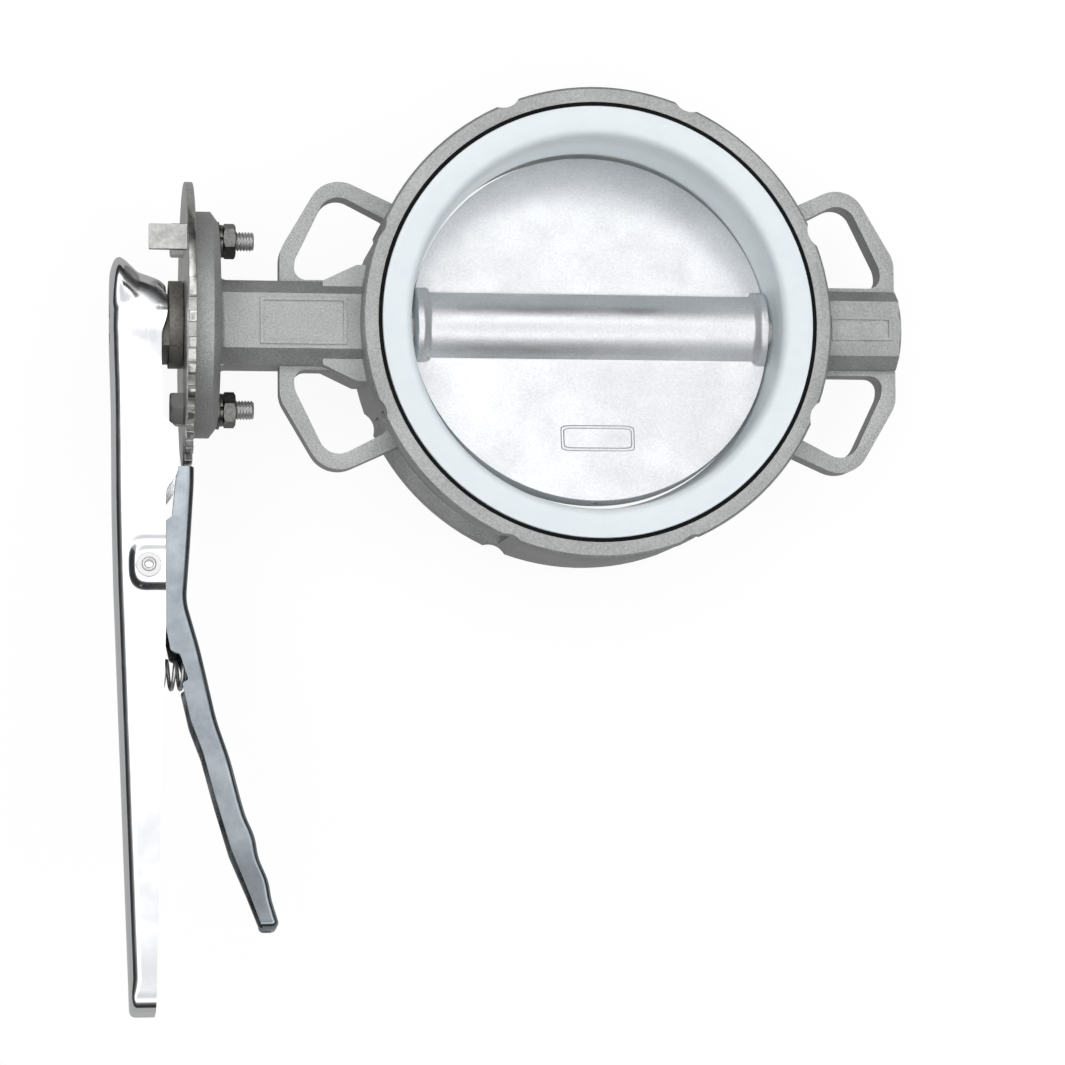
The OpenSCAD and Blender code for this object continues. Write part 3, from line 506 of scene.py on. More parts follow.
def up_stem(points: Array) -> Array:
    """Points with z up the stem: x goes to Z, y stays, z goes to -X."""
    return np.stack([-points[..., 2], points[..., 1], points[..., 0]], -1)


def place(obj: bpy.types.Object, body: Body, finish: Finish, slot: str, *nodes: str) -> bpy.types.Object:
    """Dresses a piece, rides it on its body and hides the CAD nodes it stands for.

    Args:
        obj: The piece.
        body: The body that carries it.
        finish: Its finish.
        slot: Not used.
        nodes: The CAD nodes it replaces.

    Returns:
        The same piece.
    """
    obj.data.materials.clear()
    obj.data.materials.append(finish.material())
    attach(obj, body.value)
    if nodes:
        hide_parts(*nodes)
    LOG.info("%s rides on %s", obj.name, body.value)
    return obj


def rounded(obj: bpy.types.Object, width: float, segments: int, angle: float) -> None:
    """Adds a Bevel to a mesh.

    Args:
        obj: The piece.
        width: Width in millimetres.
        segments: Faces across each rounded edge.
        angle: Only edges steeper than this many degrees are rounded.
    """
    bevel = obj.modifiers.new("round", "BEVEL")
    bevel.width = width * MM
    bevel.segments = segments
    bevel.limit_method = "ANGLE"
    bevel.angle_limit = math.radians(angle)
    bevel.harden_normals = True


def thickened(obj: bpy.types.Object, wall: float) -> None:
    """Gives an outer skin its thickness inwards.

    Args:
        obj: The sheet.
        wall: Thickness in millimetres.
    """
    thick = obj.modifiers.new("sheet", "SOLIDIFY")
    thick.thickness = wall * MM
    thick.offset = -1
    thick.use_even_offset = True


def dress(frame: dict, node: str, finish: Finish, width: float) -> None:
    """Gives a CAD node its finish and rounded edges.

    Args:
        frame: The loaded frame.
        node: The node's name.
        finish: Its finish.
        width: Width of the rounded edges in millimetres, or 0 for none.
    """
    obj = frame["nodes"][node]
    obj.data.materials.clear()
    obj.data.materials.append(finish.material())
    if width:
        weld = obj.modifiers.new("weld", "WELD")
        weld.merge_threshold = NODE_DOUBLES
        rounded(obj, width, 2, 30.0)


# ---------------------------------------------------------------- body and seat


@dataclass
class Casting:
    """The cast body, with its sharp edges rounded as sand castings have them."""

    frame: dict
    round_edges: float = 0.6
    flat: float = 0.6

    def body(self) -> bpy.types.Object:
        """A merged copy of the body's node with every steep edge rounded.

        Returns:
            The body.
        """
        mesh = self.frame["nodes"]["valve_body"].data.copy()
        work = bmesh.new()
        work.from_mesh(mesh)
        bmesh.ops.remove_doubles(work, verts=work.verts, dist=NODE_DOUBLES)
        flat = math.radians(self.flat)
        bmesh.ops.dissolve_limit(work, angle_limit=flat, verts=work.verts, edges=work.edges)
        work.to_mesh(mesh)
        work.free()
        obj = linked("cast_body", mesh)
        mesh.polygons.foreach_set("use_smooth", np.ones(len(mesh.polygons), bool))
        rounded(obj, self.round_edges, 3, 28)
        return place(obj, Body.VALVE, CAST, "cast_stainless", "valve_body")

    def build(self) -> None:
        """Makes the body."""
        self.body()


@dataclass
class Seat:
    """The white liner: two flat rims, rolled edges and a low crest that the disc closes on."""

    face: float = 28.6
    bore_r: float = 77.0
    crest_r: float = 75.3
    crest_w: float = 14.0
    roll: float = 4.0
    lip_r: float = 89.3
    back_r: float = 83.0
    lip_t: float = 4.6

    def liner(self) -> bpy.types.Object:
        """A closed profile turned about the pipe axis: crest as a cosine hump, rolls as quarter rounds.

        Returns:
            The liner.
        """
        z = np.linspace(-self.face + self.roll, self.face - self.roll, 41)
        hump = 0.5 + 0.5 * np.cos(np.clip(z / self.crest_w, -1, 1) * np.pi)
        bore = np.stack([self.bore_r - (self.bore_r - self.crest_r) * hump, z], 1)
        turn = np.linspace(0, np.pi / 2, 9)[1:]
        roll_r = self.bore_r + self.roll * (1 - np.cos(turn))
        roll = np.stack([roll_r, self.face - self.roll * (1 - np.sin(turn))], 1)
        lip, face = self.lip_r, self.face
        edge = np.array([[lip - 0.7, face], [lip - 0.2, face - 0.2], [lip, face - 0.7]])
        wall = np.array([[lip, face - self.lip_t], [self.back_r, face - self.lip_t]])
        upper = np.vstack([roll, edge, wall])
        lower = upper[::-1] * (1, -1)
        profile = np.vstack([bore, upper, lower])[None]
        grid = spun(profile[..., 0], around(288), profile[..., 1])
        return place(surface("seat_liner", grid, True, True, 40), Body.VALVE, SEAT, "white_seat", "ptfe_seat")

    def build(self) -> None:
        """Makes the liner."""
        self.liner()


# ---------------------------------------------------------------- disc


@dataclass
class Disc:
    """The disc: a flat plate with a round hub along the stem, a collar at each end and a spherical edge."""

    radius: float = 75.0
    half: float = 4.5
    hub_r: float = 14.0
    collar_r: float = 16.5
    collar_w: float = 4.5
    fillet: float = 7.0
    frame_l: float = 31.0
    frame_w: float = 11.2
    frame_x: float = 1.2
    frame_y: float = -48.2
    frame_h: float = 0.7
    bead: float = 0.8
    square: float = 0.22

    def height(self, x: Array, y: Array) -> Array:
        """Half thickness: plate and hub joined by a fillet, the collars on top, cut by the sphere.

        Args:
            x: Along the stem.
            y: Across it.

        Returns:
            Half thickness at each point.
        """
        r = np.hypot(x, y)
        past_hub = smooth_step(self.hub_r - 1, self.hub_r + 4, abs(y))
        hub = np.sqrt(np.clip(self.hub_r**2 - y**2, 0, None)) - 6 * past_hub
        high = smooth_max(np.full_like(x, self.half), hub, self.fillet)
        end = math.sqrt(self.radius**2 - self.collar_r**2) - self.collar_w
        collar = np.sqrt(np.clip(self.collar_r**2 - y**2, 0, None))
        rise = smooth_step(end - 1.5, end + 2.5, abs(x))
        high = high + np.clip(smooth_max(high, collar, 2.0) - high, 0, None) * rise
        ball = np.sqrt(np.clip(self.radius**2 - r**2, 0, None))
        return np.minimum(high, ball)

    def plate(self) -> bpy.types.Object:
        """Both faces as height over rows of constant y; a row runs x = t sqrt(R^2 - y^2), t from -1 to 1.

        Rows crowd where the fillets meet the hub and near the rim, and t crowds towards both ends.

        Returns:
            The disc.
        """
        hub = self.hub_r
        half_rows = np.concatenate([
            np.linspace(0, hub - 4.5, 20, endpoint=False),
            np.linspace(hub - 4.5, hub + 9, 46, endpoint=False),
            np.linspace(hub + 9, self.radius - 4, 34, endpoint=False),
            self.radius - np.geomspace(4.0, 0.004, 30),
        ])
        rows = np.unique(np.concatenate([-half_rows, half_rows]))
        end = np.concatenate([
            np.linspace(0, 0.82, 26, endpoint=False),
            np.linspace(0.82, 0.985, 36, endpoint=False),
            1 - np.geomspace(0.015, 0.0004, 9),
            [1.0],
        ])
        across = np.unique(np.concatenate([-end, end]))
        y, t = np.meshgrid(rows, across, indexing="ij")
        x = t * np.sqrt(self.radius**2 - y**2)
        z = self.height(x, y)
        front = np.stack([x, y, z], -1)
        back = np.stack([x, y, -z], -1)[:, ::-1]
        grid = turned_open(np.hstack([front, back[:, 1:-1]]))
        piece = surface("disc_casting", grid, False, True, 38)
        return place(piece, Body.LEVER, DISC_FACE, "disc_steel", "disc")

    def name_frame(self) -> bpy.types.Object:
        """A low raised border with round corners: a half-round bead carried round a stadium-like loop.

        Returns:
            The border.
        """
        a, b = around(160), around(12).T
        half_l, half_w = self.frame_l / 2 - self.bead, self.frame_w / 2 - self.bead
        cx = np.sign(np.cos(a)) * abs(np.cos(a)) ** self.square
        cy = np.sign(np.sin(a)) * abs(np.sin(a)) ** self.square
        bead = self.bead * np.cos(b)
        x = self.frame_x + cx * (half_l + bead)
        y = self.frame_y + cy * (half_w + bead)
        z = self.half + self.frame_h * 0.95 * np.sin(b) + 0 * a
        grid = turned_open(np.stack([x, y, z], -1))
        return place(surface("disc_frame", grid, True, True, 60), Body.LEVER, DISC_FACE, "disc_steel")

    def build(self) -> None:
        """Makes the disc and its blank frame."""
        self.plate()
        self.name_frame()


# ---------------------------------------------------------------- lever


@dataclass
class Handle:
    """The pressed sheet lever: a tray with a round head, a flared lip, and seats pressed in round the pin."""

    half: float = 15.0
    head: float = 0.0
    length: float = 282.0
    top: float = 29.9
    knee_top: float = 28.2
    knee_s: float = 108.0
    tip_top: float = 22.0
    bend: float = 5.0
    corner: float = 6.5
    wall: float = 2.0
    pivot: tuple[float, float] = (104.8, 14.5)
    dimple: tuple[float, float, float] = (10.9, 8.2, 1.9)
    hole_r: float = 8.0

    def back(self, s: Array) -> Array:
        """Height of the back at s: a slight fall to the knee, then a steeper one to the tail.

        Args:
            s: Distance along the lever.

        Returns:
            Heights.
        """
        s_at = [-40, 8, 34, 78, self.knee_s, self.length]
        h_at = [self.top, self.top, self.top - 0.8, self.top - 1.05, self.knee_top, self.tip_top]
        return averaged(s, s_at, h_at, 8, 9)

    def edge(self, s: Array) -> Array:
        """Height of the wall's lower edge at s: relief by the plate, guard at the latch, a slow rise after.

        Args:
            s: Distance along the lever.

        Returns:
            Heights.
        """
        s_at = [-12, -5, 0, 5, 8, 43.6, 48.5, 66, 69.5, 74, 130, 160, 208, 270, 284]
        h_at = [7.3, 6.9, 6.7, 8.0, 9.2, 9.2, 2.8, 2.8, 4.2, 7.9, 7.9, 8.9, 10.4, 12.0, 12.3]
        return averaged(s, s_at, h_at, 2.2, 9)

    def runs(self) -> tuple[float, float, float, float]:
        """Lengths of the outline's straight side, head arc, tail corner and tail flat.

        Returns:
            The four lengths in millimetres.
        """
        straight = self.length - self.corner - self.head
        return straight, np.pi * self.half, np.pi / 2 * self.corner, 2 * (self.half - self.corner)

    def outline(self, t: Array) -> tuple[Array, Array, Array, Array]:
        """Plan outline at t from 0 (tail, near side) round the head to 1 (tail, far side).

        A straight near side, a half circle round the head, a straight far side and a tail with round corners.

        Args:
            t: Distance along the outline in millimetres.

        Returns:
            s and w of the outline, and s and w of its outward normal.
        """
        corner = self.corner
        straight, arc, tail, flat = self.runs()
        marks = np.cumsum([straight, arc, straight, tail, flat, tail])
        s, w, ns, nw = (np.zeros_like(t) for _ in range(4))
        one = t < marks[0]
        s[one], w[one], nw[one] = self.length - corner - t[one], -self.half, -1
        two = (t >= marks[0]) & (t < marks[1])
        a = (t[two] - marks[0]) / self.half
        s[two], w[two] = self.head - self.half * np.sin(a), -self.half * np.cos(a)
        ns[two], nw[two] = -np.sin(a), -np.cos(a)
        three = (t >= marks[1]) & (t < marks[2])
        s[three], w[three], nw[three] = self.head + t[three] - marks[1], self.half, 1
        four = (t >= marks[2]) & (t < marks[3])
        a = (t[four] - marks[2]) / corner
        s[four], w[four] = self.length - corner + corner * np.sin(a), self.half - corner + corner * np.cos(a)
        ns[four], nw[four] = np.sin(a), np.cos(a)
        five = (t >= marks[3]) & (t < marks[4])
        s[five], w[five], ns[five] = self.length, self.half - corner - (t[five] - marks[3]), 1
        six = t >= marks[4]
        a = (t[six] - marks[4]) / corner
        s[six], w[six] = self.length - corner + corner * np.cos(a), -self.half + corner - corner * np.sin(a)
        ns[six], nw[six] = np.cos(a), -np.sin(a)
        return s, w, ns, nw

    def flare(self, h: Array) -> Array:
        """How far the head leans out at height h: a slow lean, then a lip that rolls over at the top.

        Args:
            h: Height.

        Returns:
            Distance outwards.
        """
        h_at = [6.6, 8.2, 10.7, 14.1, 18.5, 20.9, 23.9, 26.1, 28.3, 29.0, 29.9]
        f_at = [0.0, 2.2, 3.8, 5.0, 6.4, 8.8, 11.6, 12.9, 12.6, 11.4, 9.0]
        return averaged(h, h_at, f_at, 0.9, 7)

    def skirt(self, s: Array, h: Array) -> Array:
        """How far the head's skirt bells out: most at the lower edge, gone further down the lever.

        Args:
            s: Distance along the lever.
            h: Height.

        Returns:
            Distance outwards.
        """
        t = np.clip((h - 8) / 18, 0, 1)
        return 1.8 * (1 - 0.7 * t) * (1 - smooth_step(2, 24 - 14 * t, s))

    def shell(self) -> bpy.types.Object:
        """The tray's outer skin: wall up to the bend, a quarter-round bend, then the back to the middle line.

        Returns:
            The sheet, without its hole.
        """
        straight, arc, tail, flat = self.runs()
        lengths = (straight, arc, straight, tail, flat, tail)
        starts = np.cumsum((0.0, *lengths[:-1]))
        pieces = zip(starts, lengths, (270, 72, 270, 8, 14, 8))
        t = np.concatenate([start + np.linspace(0, run, count, False) for start, run, count in pieces])
        s0, w0, ns, nw = (v[:, None] for v in self.outline(t))
        low, high = self.edge(s0), self.back(s0)
        bend = self.bend - 2.4 * smooth_step(self.length - 14, self.length - 2, s0)
        rise = np.linspace(0, 1, 24)[None, :-1]
        turn = np.linspace(0, np.pi / 2, 11)[None, :]
        reach = np.linspace(0, 1, 12)[None, 1:]
        h = np.hstack([low + (high - bend - low) * rise, high - bend * (1 - np.sin(turn)), high + 0 * reach])
        mid_s = np.clip(s0, self.head, self.length - self.half)
        far = np.hypot(s0 - mid_s, w0)
        inward = np.hstack([0 * rise + 0 * s0, bend * (1 - np.cos(turn)), bend + (far - bend) * reach])
        toward_s, toward_w = (mid_s - s0) / far, -w0 / far
        s, w = s0 + toward_s * inward, w0 + toward_w * inward
        h = np.where(inward > bend, self.back(s), h)
        lean = smooth_step(0.1, 1.0, -ns) ** 1.3
        out = self.flare(h) * lean + self.skirt(s, h) * (1 - lean)
        out = out * np.clip(1 - (inward - bend) / (far - bend), 0, 1) ** 2
        s, w = s + ns * out, w + nw * out
        half_l, half_h, deep = self.dimple
        ds, dh = abs((s - self.pivot[0]) / half_l), np.clip((h - self.pivot[1]) / half_h, 0, None)
        ring = (ds**3.0 + dh**3.0) ** (1 / 3.0)
        w = w - np.sign(w) * deep * (1 - smooth_step(0.62, 1.05, ring)) * (abs(nw) > 0.9)
        grid = from_lever(s, h, w)
        obj = surface("lever_sheet", grid, True, False, 50)
        thickened(obj, self.wall)
        return obj

    def hole(self, obj: bpy.types.Object) -> bpy.types.Object:
        """Cuts the round hole over the lever's screw.

        Args:
            obj: The sheet.

        Returns:
            The same sheet, cut and with rounded edges.
        """
        ends = np.array([[self.top - 6, self.top + 4]])
        ring = spun(np.full_like(ends, self.hole_r), around(48), ends)
        cutter = capped("hole_cutter", from_lever(ring[..., 0], ring[..., 2], ring[..., 1]))
        cut = obj.modifiers.new("hole", "BOOLEAN")
        cut.operation = "DIFFERENCE"
        cut.solver = "EXACT"
        cut.object = cutter
        baked(obj)
        bpy.data.objects.remove(cutter)
        rounded(obj, SHEET_EDGE, 2, 50)
        return obj

    def build(self) -> None:
        """Makes the lever's sheet."""
        place(self.hole(self.shell()), Body.LEVER, POLISHED, "polished_steel", "lever_handle")


def capped(name: str, tube: Array) -> bpy.types.Object:
    """A closed solid from an open tube of points (around, along, 3): both ends get one flat face.

    Args:
        name: The solid's name.
        tube: Array (around, along, 3) in millimetres.

    Returns:
        The new object.
    """
    steps, rows = tube.shape[:2]
    first = np.arange(steps) * rows
    ends = [first[::-1].tolist(), (first + rows - 1).tolist()]
    return mesh_object(name, tube.reshape(-1, 3), quads(steps, rows, True, False) + ends)


def baked(obj: bpy.types.Object) -> bpy.types.Object:
    """Makes an object's modifiers its real mesh and shades it smooth with sharp edges kept.

    Args:
        obj: The piece.

    Returns:
        The same piece.
    """
    shown = obj.evaluated_get(bpy.context.evaluated_depsgraph_get())
    mesh = bpy.data.meshes.new_from_object(shown)
    obj.modifiers.clear()
    obj.data = mesh
    smoothed(mesh, 40)
    return obj


@dataclass
class Trigger:
    """The pressed sheet trigger: a tray bent over its own side outline, open towards the lever."""

    half: float = 10.65
    bend: float = 2.6
    wall: float = 2.0
    tip: float = 3.0
    wave_h: float = 0.85
    wave_s: float = 204.8
    wave_l: float = 17.5
    waves: int = 2

    def low_edge(self, s: Array) -> Array:
        """Height of the pressed outer edge at s, with finger waves on the last third.

        Args:
            s: Distance along the lever.

        Returns:
            Heights.
        """
        s_at = [63.2, 68.7, 95, 118.6, 138.2, 167.4, 183.2, 201, 251, 254]
        h_at = [-3.8, -3.8, -2.1, -0.3, -5.7, -12.1, -17.4, -21.8, -36.8, -37.7]
        plain = averaged(s, s_at, h_at, 4, 11)
        turns = np.clip((s - self.wave_s) / self.wave_l, 0, self.waves)
        return plain - self.wave_h * (0.5 - 0.5 * np.cos(turns * 2 * np.pi))

    def high_edge(self, s: Array) -> Array:
        """Height of the walls' free edge at s: nose, ears round the pin, the spring's slot, then the arm.

        Args:
            s: Distance along the lever.

        Returns:
            Heights.
        """
        s_at = [63.2, 66, 84, 91, 98, 111.6, 118, 128.7, 139.4, 140.6, 151.2, 152.4,
                167.4, 179.8, 199.1, 219, 235.7, 245.8, 252.2]
        h_at = [2.9, 3.2, 5.0, 14.5, 21.5, 21.5, 15.5, 8.0, 5.9, 2.3, -1.1, 1.4,
                -1.9, -6.5, -11.6, -17.4, -24.2, -28.0, -30.6]
        return averaged(s, s_at, h_at, 0.6, 7)

    def shell(self) -> bpy.types.Object:
        """The tray: across each section go down one wall, round a bend, over the web and up the other wall.

        Returns:
            The sheet.
        """
        spans = ((63.2, 138, 76), (138.5, 154, 48), (155, 247.2, 96))
        s = np.concatenate([np.linspace(*span) for span in spans])[:, None]
        low, high = self.low_edge(s), self.high_edge(s)
        deep = high - low
        bend = np.minimum(self.bend, deep * 0.5)
        narrow = 1 - 0.22 * smooth_step(213, 250, s)
        half = self.half * narrow
        down = np.linspace(0, 1, 14)[None, :-1]
        turn = np.linspace(0, np.pi / 2, 7)[None, :]
        over = np.linspace(-1, 1, 9)[None, 1:-1]
        wall_h = high + (low + bend - high) * down
        bend_h = low + bend * (1 - np.sin(turn))
        bend_w = -half + bend * (1 - np.cos(turn))
        h = np.hstack([wall_h, bend_h, low + 0 * over, bend_h[:, ::-1], wall_h[:, ::-1]])
        w = np.hstack([-half + 0 * down, bend_w, over * (half - bend), -bend_w[:, ::-1], half + 0 * down])
        run = s + 0 * h
        tip_h, tip_w, tip_s = self.closing(h[-1], w[-1], float(s[-1, 0]))
        nose_s, nose_h, nose_w = self.front(h[0], w[0], float(s[0, 0]))
        run = np.vstack([nose_s, run, tip_s])
        h = np.vstack([nose_h, h, tip_h])
        w = np.vstack([nose_w, w, tip_w])
        obj = surface("trigger_sheet", from_lever(run, h, w), False, False, 50)
        thickened(obj, self.wall)
        baked(obj)
        rounded(obj, SHEET_EDGE, 2, 50)
        return obj

    def closing(self, h: Array, w: Array, s: float) -> tuple[Array, Array, Array]:
        """Closes the tip: the last section shrinks towards its middle while it moves on in a quarter round.

        Args:
            h: Heights of the last section.
            w: Its widths.
            s: Where it stands.

        Returns:
            Heights, widths and distances of the closing sections.
        """
        turn = np.linspace(0, np.pi / 2, 9)[1:, None]
        middle = h.max() * 0.55 + h.min() * 0.45
        run = s + self.tip * np.sin(turn) + 0 * h
        return middle + (h - middle) * (0.25 + 0.75 * np.cos(turn)), w * (0.35 + 0.65 * np.cos(turn)), run

    def front(self, h: Array, w: Array, s: float) -> tuple[Array, Array, Array]:
        """Closes the front: the first section shrinks to a short upright flap that carries the latch nose.

        Args:
            h: Heights of the first section.
            w: Its widths.
            s: Where it stands.

        Returns:
            Distances, heights and widths of the closing sections.
        """
        turn = np.linspace(0, np.pi / 2, 5)[1:, None][::-1]
        return s - 0.6 * np.sin(turn) + 0 * h, h + 0 * turn, w * (1 - 0.55 * np.sin(turn) ** 2)

    def build(self) -> None:
        """Makes the trigger's sheet."""
        place(self.shell(), Body.TRIGGER, TRIGGER_PAINTED_SHADE, "polished_steel", "trigger")


# ---------------------------------------------------------------- fasteners and spring


@dataclass
class Fasteners:
    """The two hex bolts and their nuts, with rolled threads and chamfered corners."""

    spread: float = 35.0
    radius: float = 4.0
    pitch: float = 1.25
    length: float = 29.0
    across: float = 13.0
    head: float = 5.3

    def hex_radius(self, turn: Array) -> Array:
        """Distance to a hexagon's side: half the width across flats over the cosine to the nearest flat."""
        near = np.mod(turn, np.pi / 3) - np.pi / 6
        return self.across / 2 / np.cos(near)

    def hex_shape(self, low: float, high: float, both: bool, inner: float) -> Array:
        """A chamfered hexagon from low to high, closed by faces that run in to the inner radius.

        Each ring is the hexagon cut by a 30-degree cone near its end, which chamfers the corners.

        Args:
            low: Where it starts up the stem.
            high: Where it ends.
            both: Chamfers both ends, not only the high one.
            inner: Radius at which its end faces stop.

        Returns:
            Array (around, along, 3).
        """
        turn = around(96)
        up = high - low
        close = np.linspace(0, 1.0, 8)
        z = np.unique(np.concatenate([np.linspace(0, up, 8), up - close, close]))[None, :]
        start, slope = self.across / 2 * 0.965, 1.73
        cone = start + (up - z) * slope
        if both:
            cone = np.minimum(cone, start + z * slope)
        r = np.minimum(self.hex_radius(turn), cone)
        hole, face = inner * np.ones_like(turn), self.across / 2 * 0.9 * np.ones_like(turn)
        z = np.hstack([[[0.0, 0.0]], z, [[up, up]]]) + low
        return spun(np.hstack([hole, face, r, face, hole]), turn, z)

    def shank(self, low: float, high: float) -> Array:
        """A threaded rod: the radius falls by a saw-tooth of height minus turns; the low end is coned.

        Args:
            low: Where it starts up the stem.
            high: Where it ends.

        Returns:
            Array (around, along, 3).
        """
        turn = around(36)
        z = np.linspace(low, high, int((high - low) / self.pitch * 9))[None, :]
        phase = np.mod(z / self.pitch - turn / (2 * np.pi), 1)
        depth = 0.62 * np.clip(abs(2 * phase - 1) * 1.25 - 0.15, 0, 1)
        r = np.minimum(self.radius - depth, self.radius - 0.8 + (z - low) * 1.2)
        r = np.hstack([0 * turn + 0.001, r, 0 * turn + 0.001])
        return spun(r, turn, np.hstack([[[low]], z, [[high]]]))

    def copies(self, shape: Array, spin: float) -> list[Array]:
        """The shape up the stem at both bolt places, each turned by its own angle.

        Args:
            shape: Array (..., 3) with z up the stem.
            spin: Turn of the first copy, in radians.

        Returns:
            The two placed shapes.
        """
        made = []
        for side, twist in ((-1, spin), (1, spin * 2.3)):
            c, s = math.cos(twist), math.sin(twist)
            x, y, z = shape[..., 0], shape[..., 1], shape[..., 2]
            made.append(up_stem(np.stack([x * c - y * s, x * s + y * c + side * self.spread, z], -1)))
        return made

    def build(self) -> None:
        """Makes both bolts and both nuts."""
        top = PLATE_TOP
        near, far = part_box("plate_nuts")
        heads = self.copies(self.hex_shape(top, top + self.head, False, 0.01), 0.0)
        rods = self.copies(self.shank(top - self.length, top + 0.5), 0.4)
        nuts = self.copies(self.hex_shape(-far.x / MM, -near.x / MM, True, self.radius + 0.02), 0.26)
        for number, (head, rod) in enumerate(zip(heads, rods)):
            head_part = surface(f"bolt_head_{number}", head, True, False, 30)
            rod_part = surface(f"bolt_rod_{number}", rod, True, False, 60)
            bolt = joined(f"hex_bolt_{number}", [head_part, rod_part])
            place(bolt, Body.VALVE, BOLTED, "fastener_steel", "plate_bolts")
        for number, nut in enumerate(nuts):
            piece = surface(f"hex_nut_{number}", nut, True, True, 30)
            place(piece, Body.VALVE, DARK_STEEL, "fastener_steel", "plate_nuts")


def joined(name: str, parts: list[bpy.types.Object]) -> bpy.types.Object:
    """Several objects made one mesh.

    Args:
        name: The new piece's name.
        parts: The objects, which are removed.

    Returns:
        The new object.
    """
    work = bmesh.new()
    for part in parts:
        work.from_mesh(part.data)
    mesh = bpy.data.meshes.new(name)
    work.to_mesh(mesh)
    work.free()
    for part in parts:
        bpy.data.objects.remove(part)
    smoothed(mesh, 38)
    return linked(name, mesh)


@dataclass
class Rivet:
    """The trigger's hollow pin, with a rolled rim at both ends."""

    s: float = 104.8
    h: float = 14.5
    radius: float = 2.5
    rim: float = 2.9
    bore: float = 1.5
    half: float = 14.8
    deep: float = 2.2

    def pin(self) -> bpy.types.Object:
        """A profile turned about the pin's axis: shank, a rim rolled over in a half round, a blind bore.

        Returns:
            The pin.
        """
        a = np.linspace(0, np.pi, 9)
        mid = (self.rim + self.bore) / 2
        roll = np.stack([mid + (self.rim - self.bore) / 2 * np.cos(a), self.half - 0.4 + 0.4 * np.sin(a)], 1)
        upper = np.vstack([[[self.radius, 0.0], [self.radius, self.half - 0.5]], roll,
                           [[self.bore, self.half - self.deep], [0.01, self.half - self.deep]]])
        profile = np.vstack([(upper * (1, -1))[::-1], upper])[None]
        ring = spun(profile[..., 0], around(40), profile[..., 1])
        grid = from_lever(self.s + ring[..., 0], self.h + ring[..., 1], ring[..., 2])
        piece = surface("trigger_rivet", grid, True, False, 40)
        return place(piece, Body.LEVER, BOLTED, "fastener_steel", "trigger_pin")

    def build(self) -> None:
        """Makes the pin."""
        self.pin()


@dataclass
class Spring:
    """The trigger's coil spring: a wire carried along a helix whose end turns lie flat."""

    along: float = 147.05
    low: float = -2.2
    high: float = 24.4
    radius: float = 5.7
    wire: float = 0.8
    turns: float = 7.0
    keep: float = 0.55

    def coil(self) -> bpy.types.Object:
        """The wire's middle goes round at a steady rate and up by an S-shaped rise; its section is a circle.

        Returns:
            The coil.
        """
        u = np.linspace(0, 1, int(self.turns * 28))[:, None]
        v = around(12).T
        rise = 0.82 * u + 0.18 * smooth_step(0, 1, u)
        a = 2 * np.pi * self.turns * u
        reach = self.radius + self.wire * np.cos(v)
        h = self.low + self.wire + (self.high - self.low - 2 * self.wire) * rise + self.wire * np.sin(v)
        shape = from_lever(self.along + reach * np.cos(a), h + 0 * a, reach * np.sin(a))
        obj = surface("trigger_coil", shape, False, True, 60)
        place(obj, Body.LEVER, BOLTED, "spring_steel", "trigger_spring")
        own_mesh(obj)
        return obj

    def build(self) -> None:
        """Makes the coil."""
        self.coil()


# ---------------------------------------------------------------- camera, floor and light


